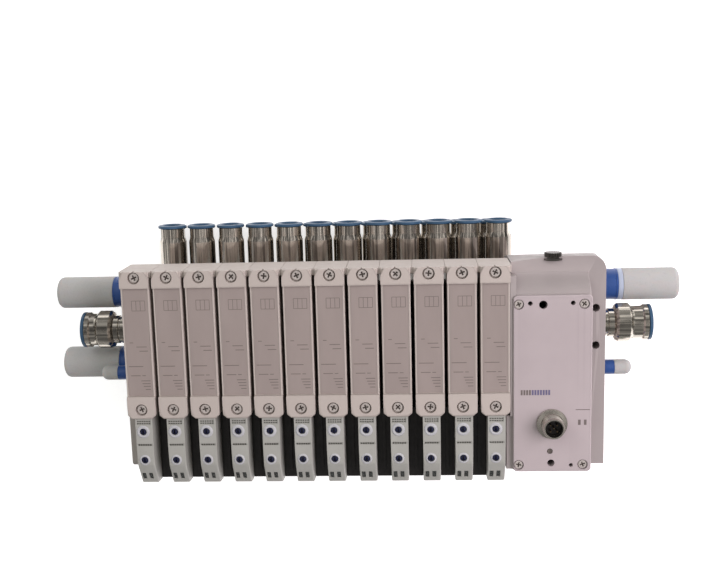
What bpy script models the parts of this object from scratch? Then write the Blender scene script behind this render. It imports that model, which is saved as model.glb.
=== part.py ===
"""Pneumatic valve terminal: twelve solenoid directional valves side by side on one manifold.

The terminal lies on its mounting face at Z = 0. X runs along the row of valves towards the electrical
connection block, Y runs from the pilots towards the work port fittings, and Z runs out of the valves'
top faces. The origin is on the mounting face, midway between the sixth and seventh valve.
"""

import math

import bmesh
import bpy
from mathutils import Matrix, Vector

MM = 0.001  # every size below is in millimetres, and is scaled once, when its mesh is made

# Driving dimensions
STATIONS = 12
PITCH = 18.0
CLEARANCE = 0.3
FACE_Z = 100.0  # top face of the valve caps
SEAT_Z = 70.0  # top of the manifold storey, which the valves sit on

# Valve body, along Y
CAP_END_Y = 66.6
UPPER_STEP_Y = 57.2
LOWER_STEP_Y = -4.4
BODY_END_Y = -17.4
PILOT_END_Y = -58.0
PILOT_SLOPE_Y = -44.9  # where the pilot's face starts to slope down to its end
PILOT_SLOPE_DROP = 8.0
BODY_HALF_WIDTH = 8.0
SHOULDER_HALF_WIDTH = PITCH / 2 - CLEARANCE / 2
PILOT_SIDES_X = (-4.3, 5.5)
PILOT_DROP = 1.0  # pilot face below the caps
PILOT_RAISE = 1.0  # pilot underside above the body's
PILOT_OVERLAP = 6.0  # how far the pilot's shape starts inside the body
LABEL_DROP = 1.4  # label area below the caps
SHOULDER_LENGTH = 3.8
SHOULDER_DROP = 3.3  # shoulder below the cap, whose corners are cut back
EDGE = 2.0
SCREW_Y = (63.1, -12.0)
SCREW_RECESS_RADIUS = 3.3
SCREW_RECESS_DEPTH = 2.6

# Manual overrides
OVERRIDE_Y = {"upper": -25.0, "lower": -41.7}
OVERRIDE_RADIUS = 2.0
OVERRIDE_LENGTH = 6.5
OVERRIDE_TRAVEL = 1.5
BOSS_RADIUS = 3.5
BOSS_HEIGHT = 0.6

# Spool and its bore
SPOOL_Z = 84.0
SPOOL_START_Y = -10.0
SPOOL_LENGTH = 64.0
SPOOL_TRAVEL = 4.0
SPOOL_LAND_RADIUS = 3.75
SPOOL_WAIST_RADIUS = 2.2
SPOOL_LAND_LENGTH = 6.0
SPOOL_LANDS = 4
BORE_RADIUS = 4.3
BORE_SLACK = 2.0
PORTS = 5  # exhaust, work, supply, work, exhaust
PORT_PITCH = 12.5
PORT_SIZE_X = 6.0
PORT_SIZE_Y = 4.0

# Manifold and its work port fittings
MANIFOLD_HALF_LENGTH = STATIONS * PITCH / 2
MANIFOLD_Y = (-54.0, 55.0)
FITTING_ROWS = ((7.0, 30.0, 29.0), (3.8, 12.0, 26.5))  # offset from the valve, height, and length
FITTING_SINK = 2.0
FITTING_RADIUS = 7.8
FITTING_CONE = 2.0
FITTING_NECK_RADIUS = 7.0
FITTING_NECK_LENGTH = 5.2
WORK_RING_RADIUS = 8.3
WORK_RING_THICKNESS = 1.7
WORK_TUBE_RADIUS = 5.1
WORK_SOCKET_DEPTH = 17.0

# Left end plate
PLATE_THICKNESS = 6.5
PLATE_LOW_Y = -55.4

# Ports on both ends: centre as (Y, Z) and radius of the hole that takes the spigot
EXHAUST_UPPER = (46.4, 48.0)
EXHAUST_LOWER = (3.5, 48.0)
SUPPLY = (25.6, 58.0)
PILOT_EXHAUST = (0.6, 64.0)
SPIGOT_LENGTH = 4.5
EXHAUST_SPIGOT_RADIUS = 6.0
SUPPLY_SPIGOT_RADIUS = 6.5
PILOT_SPIGOT_RADIUS = 2.4
HOLE_SLACK = 0.5
HOLE_DEPTH = 6.0
STAND_OFF = {"silencer_right": 2.0, "pilot_silencer_right": 3.2, "supply_fitting_right": 0.6}

# Galleries along the manifold, and the passages from them up to the valves
GALLERIES = ((EXHAUST_LOWER, 6.0), (SUPPLY, 6.5), (EXHAUST_UPPER, 6.0))
GALLERY_PORTS = (0, 2, 4)  # the valve port that each gallery feeds

# Connection block
BLOCK_LEFT_X = MANIFOLD_HALF_LENGTH + CLEARANCE
BLOCK_RIGHT_X = 160.3
BLOCK_Y = (-49.2, 69.0)
BLOCK_SHELF_Z = 88.0
BLOCK_DECK = (63.5, 44.0)  # (Y, Z) under which the far side stands back, clear of the last fitting
BLOCK_BACK_Y = 52.5
BLOCK_CORNER = 6.0  # cut off the upright corner on the far right
BLOCK_LIP = 5.0  # height of the shelf's upright edge above the tapered back
LEDGE = (105.0, -18.2, 70.6, 96.4)  # strip beside the last pilot: left X, far Y, underside and top
PEDESTAL_RIGHT_X = 151.0
COVER_Y = (-49.7, 50.0)
COVER_THICKNESS = 2.4
COVER_CORNER = 2.0
POCKET_WALL = 6.0
POCKET_FLOOR_Z = 60.0
SCOOP = (11.0, 9.0)  # concave blend between the shelf and the pedestal, along Y and Z
SCOOP_STEPS = 5
FLANGE_HOLES = ((154.9, 40.4), (155.0, 19.3))
FLANGE_HOLE_RADIUS = 2.2
FLANGE_HOLE_DEPTH = 10.0
COVER_HOLES = ((124.7, 44.9, 2.3), (129.3, -44.7, 2.0))
CONNECTOR_XY = (129.7, -22.0)
CONNECTOR_HOLE_RADIUS = 7.0
DECK_SLOPE = 6.0  # how far the deck falls from the far edge to the step
CUT_MARGIN = 1.0  # how far cutters run past the faces they open

# M12 connector, with heights above the cover
CONNECTOR_RADIUS = 6.0
CONNECTOR_HEIGHT = 10.5
CONNECTOR_BORE_RADIUS = 4.75
CONNECTOR_BORE_FLOOR = 2.0
CONNECTOR_FLANGE = (8.5, 1.5)  # radius and height
CONNECTOR_SHANK = (5.5, 8.0)  # radius and length

# Supply fitting, with lengths from the port
SUPPLY_REACH = {"left": (26.9, 7.8), "right": (30.3, 8.7)}  # whole length, and where the hexagon starts
SUPPLY_SOCKET_DEPTH = 20.0
SUPPLY_TUBE_RADIUS = 6.1
SUPPLY_RING = (10.4, 4.5)  # radius and length
SUPPLY_WAIST_RADIUS = 9.7
SUPPLY_HEX = (11.3, 10.2)  # radius and length
SUPPLY_NECK_RADIUS = 8.2
CHAMFER = 1.0

# Silencers
SILENCER_REACH = {"silencer_left_upper": 43.1, "silencer_left_lower": 42.1, "silencer_right": 46.0}
SILENCER_RADIUS = 9.3
SILENCER_TIP = (7.3, 2.5)  # radius and length of the tapered tip
SILENCER_CAP_LENGTH = 34.0
SILENCER_BASE_RADIUS = 8.8
PILOT_SILENCER = (4.3, 16.0)  # radius and length
DOME_ANGLES = (0, 30, 60, 90)

# Number of sides of round shapes
FINE = 20
MEDIUM = 12
COARSE = 10
SPOOL_SIDES = 8

AXIS_X = Vector((1, 0, 0))
AXIS_Y = Vector((0, 1, 0))
AXIS_Z = Vector((0, 0, 1))


# Scene and materials

def clear_scene():
    """Remove whatever the file opened with."""
    for obj in list(bpy.data.objects):
        bpy.data.objects.remove(obj, do_unlink=True)


def make_collection(name):
    """A collection linked to the scene."""
    collection = bpy.data.collections.new(name)
    bpy.context.scene.collection.children.link(collection)
    return collection


def make_material(name, color, roughness, metallic=0.0):
    """A Principled material of one colour."""
    material = bpy.data.materials.new(name)
    material.use_nodes = True
    shader = material.node_tree.nodes["Principled BSDF"]
    shader.inputs["Base Color"].default_value = (*color, 1.0)
    shader.inputs["Roughness"].default_value = roughness
    shader.inputs["Metallic"].default_value = metallic
    return material


# Mesh helpers

def add_cylinder(shape, radius, start, axis, length, sides=MEDIUM):
    """Add a capped cylinder to a bmesh, from start along axis."""
    turn = AXIS_Z.rotation_difference(axis).to_matrix().to_4x4()
    middle = Vector(start) + axis * (length / 2)
    bmesh.ops.create_cone(
        shape, cap_ends=True, segments=sides, radius1=radius, radius2=radius, depth=length,
        matrix=Matrix.Translation(middle) @ turn,
    )


def add_block(shape, low, high):
    """Add a box to a bmesh, between two corners."""
    low, high = Vector(low), Vector(high)
    size = Matrix.Diagonal((high - low).to_4d())
    size[3][3] = 1.0
    bmesh.ops.create_cube(shape, size=1.0, matrix=Matrix.Translation((low + high) / 2) @ size)


def add_upright_prism(shape, corners, low, high):
    """Add a prism to a bmesh, standing on a closed outline of (X, Y) corners."""
    foot = shape.faces.new([shape.verts.new((x, y, low)) for x, y in corners])
    made = bmesh.ops.extrude_face_region(shape, geom=[foot])
    top = [item for item in made["geom"] if isinstance(item, bmesh.types.BMVert)]
    bmesh.ops.translate(shape, vec=(0, 0, high - low), verts=top)
    bmesh.ops.recalc_face_normals(shape, faces=shape.faces)


def mesh_object(name, shape, collection):
    """Turn a bmesh in millimetres into an object in metres."""
    bmesh.ops.scale(shape, vec=(MM, MM, MM), verts=shape.verts)
    mesh = bpy.data.meshes.new(name)
    shape.to_mesh(mesh)
    shape.free()
    obj = bpy.data.objects.new(name, mesh)
    collection.objects.link(obj)
    return obj


def freeze(obj):
    """Replace an object by the mesh that its modifiers make, in world coordinates."""
    bpy.context.view_layer.update()
    depsgraph = bpy.context.evaluated_depsgraph_get()
    mesh = bpy.data.meshes.new_from_object(obj.evaluated_get(depsgraph))
    mesh.transform(obj.matrix_world)
    frozen = bpy.data.objects.new(obj.name, mesh)
    for collection in obj.users_collection:
        collection.objects.link(frozen)
    name = obj.name
    bpy.data.objects.remove(obj, do_unlink=True)
    frozen.name = name
    return frozen


def weld(obj):
    """Close the loose caps of a mesh made from a curve."""
    shape = bmesh.new()
    shape.from_mesh(obj.data)
    bmesh.ops.remove_doubles(shape, verts=shape.verts, dist=1e-6)
    bmesh.ops.recalc_face_normals(shape, faces=shape.faces)
    shape.to_mesh(obj.data)
    shape.free()
    return obj


def extrusion(name, outline, x_low, x_high, collection):
    """A closed outline of (Y, Z) points, filled and extruded along X."""
    curve = bpy.data.curves.new(name, "CURVE")
    curve.dimensions = "2D"
    curve.fill_mode = "BOTH"
    curve.extrude = (x_high - x_low) / 2 * MM
    spline = curve.splines.new("POLY")
    spline.points.add(len(outline) - 1)
    for point, (y, z) in zip(spline.points, outline):
        point.co = (y * MM, z * MM, 0.0, 1.0)
    spline.use_cyclic_u = True
    obj = bpy.data.objects.new(name, curve)
    obj.rotation_euler = (math.pi / 2, 0.0, math.pi / 2)
    obj.location.x = (x_low + x_high) / 2 * MM
    collection.objects.link(obj)
    return weld(freeze(obj))


def turned(name, profile, axis, base, collection, sides=FINE):
    """Turn a profile of (radius, height) points, given from the tip down, about an axis through base."""
    mesh = bpy.data.meshes.new(name)
    points = [(radius * MM, 0.0, height * MM) for radius, height in profile]
    mesh.from_pydata(points, [(i, i + 1) for i in range(len(points) - 1)], [])
    obj = bpy.data.objects.new(name, mesh)
    obj.matrix_world = (
        Matrix.Translation(Vector(base) * MM) @ AXIS_Z.rotation_difference(axis).to_matrix().to_4x4()
    )
    collection.objects.link(obj)
    screw = obj.modifiers.new("Turn", "SCREW")
    screw.steps = sides
    screw.render_steps = sides
    screw.use_merge_vertices = True
    screw.merge_threshold = 1e-6
    frozen = freeze(obj)
    frozen.data.shade_smooth()
    frozen.data.set_sharp_from_angle(angle=math.radians(35))
    return frozen


def combine(target, tool, operation, cutters):
    """Join or cut a target with a tool, which is kept as a hidden guide."""
    tool.hide_render = True
    tool.display_type = "WIRE"
    for collection in tool.users_collection:
        collection.objects.unlink(tool)
    cutters.objects.link(tool)
    modifier = target.modifiers.new(operation.title(), "BOOLEAN")
    modifier.operation = operation
    modifier.object = tool
    return freeze(target)


def place(obj, material, location=(0.0, 0.0, 0.0)):
    """Give a finished piece its material and its place."""
    obj.data.materials.clear()
    obj.data.materials.append(material)
    obj.location = Vector(location) * MM
    return obj


def copies(pattern, names, locations, collection, material):
    """One object for each name, sharing the pattern's mesh."""
    pattern.data.materials.clear()
    pattern.data.materials.append(material)
    for name, location in zip(names, locations):
        obj = bpy.data.objects.new(name, pattern.data)
        obj.location = Vector(location) * MM
        collection.objects.link(obj)
    bpy.data.objects.remove(pattern, do_unlink=True)


# Valves

def station_x(index):
    """Middle of a valve, counted from the left."""
    return (index - (STATIONS - 1) / 2) * PITCH


def valve_outline():
    """Side view of the valve body: two caps and the lower label area between them."""
    bottom = SEAT_Z + CLEARANCE
    label = FACE_Z - LABEL_DROP
    return [
        (BODY_END_Y, bottom),
        (CAP_END_Y, bottom),
        (CAP_END_Y, FACE_Z - EDGE),
        (CAP_END_Y - EDGE, FACE_Z),
        (UPPER_STEP_Y, FACE_Z),
        (UPPER_STEP_Y, label),
        (LOWER_STEP_Y, label),
        (LOWER_STEP_Y, FACE_Z),
        (BODY_END_Y + EDGE, FACE_Z),
        (BODY_END_Y, FACE_Z - EDGE),
    ]


def pilot_outline():
    """Side view of the pilot, which starts inside the body."""
    bottom = SEAT_Z + CLEARANCE + PILOT_RAISE
    top = FACE_Z - PILOT_DROP
    return [
        (BODY_END_Y + PILOT_OVERLAP, bottom),
        (BODY_END_Y + PILOT_OVERLAP, top),
        (PILOT_SLOPE_Y, top),
        (PILOT_END_Y, top - PILOT_SLOPE_DROP),
        (PILOT_END_Y, bottom),
    ]


def port_y(index):
    """Middle of a valve port, counted from the pilot side."""
    return SPOOL_START_Y + SPOOL_LENGTH / 2 + (index - (PORTS - 1) / 2) * PORT_PITCH


def valve_pattern(collection, cutters):
    """Valve body with its pilot, at X = 0."""
    body = extrusion("valve", valve_outline(), -BODY_HALF_WIDTH, BODY_HALF_WIDTH, collection)
    pilot = extrusion("pilot_shape", pilot_outline(), *PILOT_SIDES_X, collection)
    body = combine(body, pilot, "UNION", cutters)

    additions = bmesh.new()
    shoulder_end = CAP_END_Y - CLEARANCE
    add_block(
        additions,
        (-SHOULDER_HALF_WIDTH, shoulder_end - SHOULDER_LENGTH, SEAT_Z + 2 * CLEARANCE),
        (SHOULDER_HALF_WIDTH, shoulder_end, FACE_Z - SHOULDER_DROP),
    )
    boss_start = FACE_Z - PILOT_DROP - CUT_MARGIN
    for y in OVERRIDE_Y.values():
        add_cylinder(additions, BOSS_RADIUS, (0, y, boss_start), AXIS_Z, BOSS_HEIGHT + CUT_MARGIN, COARSE)
    body = combine(body, mesh_object("valve_additions", additions, cutters), "UNION", cutters)

    pockets = bmesh.new()
    for y in SCREW_Y:
        add_cylinder(
            pockets, SCREW_RECESS_RADIUS, (0, y, FACE_Z - SCREW_RECESS_DEPTH), AXIS_Z,
            SCREW_RECESS_DEPTH + CUT_MARGIN, COARSE,
        )
    override_floor = FACE_Z - PILOT_DROP + BOSS_HEIGHT - OVERRIDE_LENGTH - OVERRIDE_TRAVEL - CUT_MARGIN
    for y in OVERRIDE_Y.values():
        add_cylinder(
            pockets, OVERRIDE_RADIUS + HOLE_SLACK, (0, y, override_floor), AXIS_Z,
            FACE_Z - override_floor + CUT_MARGIN, COARSE,
        )
    add_cylinder(
        pockets, BORE_RADIUS, (0, SPOOL_START_Y - BORE_SLACK, SPOOL_Z), AXIS_Y,
        SPOOL_LENGTH + SPOOL_TRAVEL + 2 * BORE_SLACK, SPOOL_SIDES,
    )
    body = combine(body, mesh_object("valve_pockets", pockets, cutters), "DIFFERENCE", cutters)

    ports = bmesh.new()
    for index in range(PORTS):
        add_block(
            ports,
            (-PORT_SIZE_X / 2, port_y(index) - PORT_SIZE_Y / 2, SEAT_Z - CUT_MARGIN),
            (PORT_SIZE_X / 2, port_y(index) + PORT_SIZE_Y / 2, SPOOL_Z - CUT_MARGIN),
        )
    return combine(body, mesh_object("valve_ports", ports, cutters), "DIFFERENCE", cutters)


def spool_profile():
    """Lands joined by thinner waists, from the far end down."""
    gap = (SPOOL_LENGTH - SPOOL_LANDS * SPOOL_LAND_LENGTH) / (SPOOL_LANDS - 1)
    profile = [(0.0, SPOOL_LENGTH)]
    for index in range(SPOOL_LANDS):
        top = SPOOL_LENGTH - index * (SPOOL_LAND_LENGTH + gap)
        if index:
            profile.append((SPOOL_WAIST_RADIUS, top))
        profile.append((SPOOL_LAND_RADIUS, top))
        profile.append((SPOOL_LAND_RADIUS, top - SPOOL_LAND_LENGTH))
        if index < SPOOL_LANDS - 1:
            profile.append((SPOOL_WAIST_RADIUS, top - SPOOL_LAND_LENGTH))
    profile.append((0.0, 0.0))
    return profile


def make_valves(collection, cutters, materials):
    """Twelve valves, each with its spool and two manual overrides."""
    numbers = range(STATIONS)
    places = [(station_x(i), 0.0, 0.0) for i in numbers]

    valve = valve_pattern(collection, cutters)
    copies(valve, [f"valve_{i + 1:02d}" for i in numbers], places, collection, materials["valve"])

    spool = turned(
        "spool", spool_profile(), AXIS_Y, (0, SPOOL_START_Y, SPOOL_Z), collection, SPOOL_SIDES,
    )
    copies(spool, [f"spool_{i + 1:02d}" for i in numbers], places, collection, materials["spool"])

    top = FACE_Z - PILOT_DROP + BOSS_HEIGHT
    for side, y in OVERRIDE_Y.items():
        button = bmesh.new()
        add_cylinder(button, OVERRIDE_RADIUS, (0, 0, -OVERRIDE_LENGTH), AXIS_Z, OVERRIDE_LENGTH, COARSE)
        pattern = mesh_object("override", button, collection)
        names = [f"override_{i + 1:02d}_{side}" for i in numbers]
        copies(pattern, names, [(station_x(i), y, top) for i in numbers], collection, materials["override"])


# Manifold with its work port fittings

def work_fitting_profile(tip):
    """Push-in fitting with its release ring, from the socket's floor out and down to the port."""
    neck_top = tip - WORK_RING_THICKNESS
    return [
        (0.0, tip - WORK_SOCKET_DEPTH),
        (WORK_TUBE_RADIUS, tip - WORK_SOCKET_DEPTH),
        (WORK_TUBE_RADIUS, tip),
        (WORK_RING_RADIUS, tip),
        (WORK_RING_RADIUS, neck_top),
        (FITTING_NECK_RADIUS, neck_top),
        (FITTING_NECK_RADIUS, neck_top - FITTING_NECK_LENGTH),
        (FITTING_RADIUS, neck_top - FITTING_NECK_LENGTH - FITTING_CONE),
        (FITTING_RADIUS, -FITTING_SINK),
        (0.0, -FITTING_SINK),
    ]


def gallery_cutters(cutters):
    """Two exhaust galleries and one supply gallery, and a passage from each up to every valve."""
    galleries = bmesh.new()
    start = -MANIFOLD_HALF_LENGTH - CUT_MARGIN
    for (y, z), radius in GALLERIES:
        add_cylinder(galleries, radius, (start, y, z), AXIS_X, 2 * (MANIFOLD_HALF_LENGTH + CUT_MARGIN))
    passages = bmesh.new()
    for ((_, z), _), port in zip(GALLERIES, GALLERY_PORTS):
        for index in range(STATIONS):
            x, y = station_x(index), port_y(port)
            add_block(
                passages,
                (x - PORT_SIZE_X / 2, y - PORT_SIZE_Y / 2, z),
                (x + PORT_SIZE_X / 2, y + PORT_SIZE_Y / 2, SEAT_Z + CUT_MARGIN),
            )
    return mesh_object("galleries", galleries, cutters), mesh_object("passages", passages, cutters)


def make_manifold(collection, cutters, materials):
    """Manifold block with its galleries, joined with the two rows of fittings screwed into its far side."""
    block = bmesh.new()
    add_block(
        block,
        (-MANIFOLD_HALF_LENGTH, MANIFOLD_Y[0], 0.0),
        (MANIFOLD_HALF_LENGTH, MANIFOLD_Y[1], SEAT_Z),
    )
    manifold = mesh_object("manifold_base", block, collection)

    for offset, height, length in FITTING_ROWS:
        profile = work_fitting_profile(length)
        row = turned("work_fittings", profile, AXIS_Y, (0, MANIFOLD_Y[1], 0), cutters, MEDIUM)
        fittings = bmesh.new()
        for index in range(STATIONS):
            first = len(fittings.verts)
            fittings.from_mesh(row.data)
            fittings.verts.ensure_lookup_table()
            move = Vector((station_x(index) + offset, 0.0, height)) * MM
            bmesh.ops.translate(fittings, vec=move, verts=fittings.verts[first:])
        fittings.to_mesh(row.data)
        fittings.free()
        manifold = combine(manifold, row, "UNION", cutters)
    for tool in gallery_cutters(cutters):
        manifold = combine(manifold, tool, "DIFFERENCE", cutters)
    place(manifold, materials["manifold"])


# Ends

def bore_ports(obj, ports, x_start, length, cutters):
    """Cut the holes that take the spigots, from x_start along X."""
    holes = bmesh.new()
    for (y, z), radius in ports:
        add_cylinder(holes, radius + HOLE_SLACK, (x_start, y, z), AXIS_X, length)
    return combine(obj, mesh_object(obj.name + "_holes", holes, cutters), "DIFFERENCE", cutters)


def make_end_plate(collection, cutters, materials):
    """Plate that closes the left end and carries the left ports."""
    right = -MANIFOLD_HALF_LENGTH - CLEARANCE
    shape = bmesh.new()
    add_block(shape, (right - PLATE_THICKNESS, PLATE_LOW_Y, 0.0), (right, MANIFOLD_Y[1], SEAT_Z))
    plate = mesh_object("left_end_plate", shape, collection)
    ports = (
        (EXHAUST_UPPER, EXHAUST_SPIGOT_RADIUS),
        (EXHAUST_LOWER, EXHAUST_SPIGOT_RADIUS),
        (SUPPLY, SUPPLY_SPIGOT_RADIUS),
        (PILOT_EXHAUST, PILOT_SPIGOT_RADIUS),
    )
    start = right - PLATE_THICKNESS - CUT_MARGIN
    plate = bore_ports(plate, ports, start, PLATE_THICKNESS + 2 * CUT_MARGIN, cutters)
    place(plate, materials["end_plate"])


def block_outline():
    """Side view of the connection block below its pedestal."""
    low, high = BLOCK_Y
    deck_y, deck_z = BLOCK_DECK
    return [
        (low, 0.0),
        (BLOCK_BACK_Y, 0.0),
        (BLOCK_BACK_Y, deck_z - DECK_SLOPE),
        (deck_y, deck_z),
        (high, BLOCK_SHELF_Z - EDGE - BLOCK_LIP),
        (high, BLOCK_SHELF_Z - EDGE),
        (high - EDGE, BLOCK_SHELF_Z),
        (low + EDGE, BLOCK_SHELF_Z),
        (low, BLOCK_SHELF_Z - EDGE),
    ]


def pedestal_outline():
    """Side view of the raised part under the cover, with a concave blend on its far side."""
    low, high = COVER_Y
    top = FACE_Z - COVER_THICKNESS - CLEARANCE
    run, rise = SCOOP
    low += CLEARANCE
    sunk = BLOCK_SHELF_Z - EDGE
    outline = [(low, sunk), (high + run, sunk)]
    for step in range(SCOOP_STEPS + 1):
        angle = math.pi / 2 * (1 - step / SCOOP_STEPS)
        outline.append((high + run - run * math.cos(angle), top - rise * math.sin(angle)))
    outline.append((low, top))
    return outline


def make_connection_block(collection, cutters, materials):
    """Housing with its pocket, and the cover plate over it."""
    housing = extrusion("connection_housing", block_outline(), BLOCK_LEFT_X, BLOCK_RIGHT_X, collection)
    pedestal = extrusion(
        "pedestal_shape", pedestal_outline(), BLOCK_LEFT_X + CLEARANCE, PEDESTAL_RIGHT_X, collection,
    )
    housing = combine(housing, pedestal, "UNION", cutters)
    ledge_x, ledge_y, ledge_low, ledge_high = LEDGE
    ledge = bmesh.new()
    add_block(
        ledge,
        (ledge_x, COVER_Y[0] + CLEARANCE, ledge_low),
        (BLOCK_LEFT_X + EDGE, ledge_y, ledge_high),
    )
    housing = combine(housing, mesh_object("ledge_shape", ledge, cutters), "UNION", cutters)

    corner = bmesh.new()
    corner_x, corner_y = BLOCK_RIGHT_X + CUT_MARGIN, BLOCK_Y[1] + CUT_MARGIN
    cut = BLOCK_CORNER + CUT_MARGIN
    outline = ((corner_x - cut, corner_y), (corner_x, corner_y - cut), (corner_x, corner_y))
    add_upright_prism(corner, outline, -CUT_MARGIN, BLOCK_SHELF_Z + CUT_MARGIN)
    housing = combine(housing, mesh_object("corner_cut", corner, cutters), "DIFFERENCE", cutters)

    pocket = bmesh.new()
    add_block(
        pocket,
        (BLOCK_LEFT_X + POCKET_WALL, COVER_Y[0] + POCKET_WALL, POCKET_FLOOR_Z),
        (PEDESTAL_RIGHT_X - POCKET_WALL, COVER_Y[1] - POCKET_WALL, FACE_Z + CUT_MARGIN),
    )
    depth = FLANGE_HOLE_DEPTH
    for x, y in FLANGE_HOLES:
        add_cylinder(
            pocket, FLANGE_HOLE_RADIUS, (x, y, BLOCK_SHELF_Z - depth), AXIS_Z, depth + CUT_MARGIN, COARSE,
        )
    housing = combine(housing, mesh_object("housing_pocket", pocket, cutters), "DIFFERENCE", cutters)
    sockets = bmesh.new()
    for x, y, radius in COVER_HOLES:
        add_cylinder(sockets, radius, (x, y, BLOCK_SHELF_Z - depth), AXIS_Z, 2 * depth, COARSE)
    housing = combine(housing, mesh_object("housing_sockets", sockets, cutters), "DIFFERENCE", cutters)
    ports = (
        (EXHAUST_UPPER, EXHAUST_SPIGOT_RADIUS),
        (SUPPLY, SUPPLY_SPIGOT_RADIUS),
        (PILOT_EXHAUST, PILOT_SPIGOT_RADIUS),
    )
    housing = bore_ports(housing, ports, BLOCK_RIGHT_X - HOLE_DEPTH, HOLE_DEPTH + CUT_MARGIN, cutters)
    place(housing, materials["housing"])

    plate = bmesh.new()
    add_block(
        plate,
        (BLOCK_LEFT_X + CLEARANCE, COVER_Y[0], FACE_Z - COVER_THICKNESS),
        (PEDESTAL_RIGHT_X + CLEARANCE, COVER_Y[1], FACE_Z),
    )
    upright = [edge for edge in plate.edges if edge.verts[0].co.z != edge.verts[1].co.z]
    bmesh.ops.bevel(plate, geom=upright, offset=COVER_CORNER, segments=2, profile=0.5, affect="EDGES")
    cover = mesh_object("connection_cover", plate, collection)
    holes = bmesh.new()
    bottom = FACE_Z - COVER_THICKNESS - CUT_MARGIN
    for x, y, radius in COVER_HOLES + (CONNECTOR_XY + (CONNECTOR_HOLE_RADIUS,),):
        add_cylinder(holes, radius, (x, y, bottom), AXIS_Z, COVER_THICKNESS + 2 * CUT_MARGIN)
    cover = combine(cover, mesh_object("cover_holes", holes, cutters), "DIFFERENCE", cutters)
    place(cover, materials["cover"])


def make_connector(collection, materials):
    """Round M12 connector standing on the cover, with its shank through the cover's hole."""
    flange_radius, flange_height = CONNECTOR_FLANGE
    shank_radius, shank_length = CONNECTOR_SHANK
    profile = [
        (0.0, CONNECTOR_BORE_FLOOR),
        (CONNECTOR_BORE_RADIUS, CONNECTOR_BORE_FLOOR),
        (CONNECTOR_BORE_RADIUS, CONNECTOR_HEIGHT),
        (CONNECTOR_RADIUS, CONNECTOR_HEIGHT),
        (CONNECTOR_RADIUS, flange_height),
        (flange_radius, flange_height),
        (flange_radius, CLEARANCE),
        (shank_radius, CLEARANCE),
        (shank_radius, -shank_length),
        (0.0, -shank_length),
    ]
    connector = turned("m12_connector", profile, AXIS_Z, (*CONNECTOR_XY, FACE_Z), collection, FINE)
    place(connector, materials["nickel"])


# Fittings and silencers on the ends

def supply_profile(side):
    """Large push-in fitting: socket, release ring, waist, hexagon body, neck and spigot."""
    length, hex_start = SUPPLY_REACH[side]
    floor = length - SUPPLY_SOCKET_DEPTH
    ring_radius, ring_length = SUPPLY_RING
    hex_radius, hex_length = SUPPLY_HEX
    hex_end = hex_start + hex_length
    return [
        (0.0, floor),
        (SUPPLY_TUBE_RADIUS, floor),
        (SUPPLY_TUBE_RADIUS, length),
        (ring_radius, length),
        (ring_radius, length - ring_length),
        (SUPPLY_WAIST_RADIUS, length - ring_length - CHAMFER),
        (SUPPLY_WAIST_RADIUS, hex_end),
        (hex_radius, hex_end - CHAMFER),
        (hex_radius, hex_start + CHAMFER),
        (SUPPLY_NECK_RADIUS, hex_start),
        (SUPPLY_NECK_RADIUS, CLEARANCE),
        (SUPPLY_SPIGOT_RADIUS, CLEARANCE),
        (SUPPLY_SPIGOT_RADIUS, -SPIGOT_LENGTH),
        (0.0, -SPIGOT_LENGTH),
    ]


def silencer_profile(name):
    """Large silencer: porous cap, screw-in base and spigot."""
    length = SILENCER_REACH[name]
    tip_radius, taper = SILENCER_TIP
    base_length = length - SILENCER_CAP_LENGTH
    return [
        (0.0, length),
        (tip_radius, length),
        (SILENCER_RADIUS, length - taper),
        (SILENCER_RADIUS, base_length + HOLE_SLACK),
        (SILENCER_BASE_RADIUS, base_length),
        (SILENCER_BASE_RADIUS, CLEARANCE),
        (EXHAUST_SPIGOT_RADIUS, CLEARANCE),
        (EXHAUST_SPIGOT_RADIUS, -SPIGOT_LENGTH),
        (0.0, -SPIGOT_LENGTH),
    ]


def pilot_silencer_profile():
    """Small silencer with a domed cap."""
    radius, tip = PILOT_SILENCER
    turns = [math.radians(angle) for angle in DOME_ANGLES]
    dome = [(radius * math.sin(turn), tip - radius * (1 - math.cos(turn))) for turn in turns]
    return dome + [
        (radius, CLEARANCE),
        (PILOT_SPIGOT_RADIUS, CLEARANCE),
        (PILOT_SPIGOT_RADIUS, -SPIGOT_LENGTH),
        (0.0, -SPIGOT_LENGTH),
    ]


def make_end_fittings(collection, materials):
    """Supply fittings and silencers on both ends, each screwed into its port."""
    kinds = (
        ("silencer_left_upper", silencer_profile("silencer_left_upper"), EXHAUST_UPPER, "silencer"),
        ("silencer_left_lower", silencer_profile("silencer_left_lower"), EXHAUST_LOWER, "silencer"),
        ("silencer_right", silencer_profile("silencer_right"), EXHAUST_UPPER, "silencer"),
        ("pilot_silencer_left", pilot_silencer_profile(), PILOT_EXHAUST, "silencer"),
        ("pilot_silencer_right", pilot_silencer_profile(), PILOT_EXHAUST, "silencer"),
        ("supply_fitting_left", supply_profile("left"), SUPPLY, "nickel"),
        ("supply_fitting_right", supply_profile("right"), SUPPLY, "nickel"),
    )
    for name, profile, (y, z), material in kinds:
        at_left = "left" in name
        axis = -AXIS_X if at_left else AXIS_X
        face_x = -MANIFOLD_HALF_LENGTH - CLEARANCE - PLATE_THICKNESS if at_left else BLOCK_RIGHT_X
        base = Vector((face_x, y, z)) + axis * STAND_OFF.get(name, 0.0)
        place(turned(name, profile, axis, (0, 0, 0), collection), materials[material], base)


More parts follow.
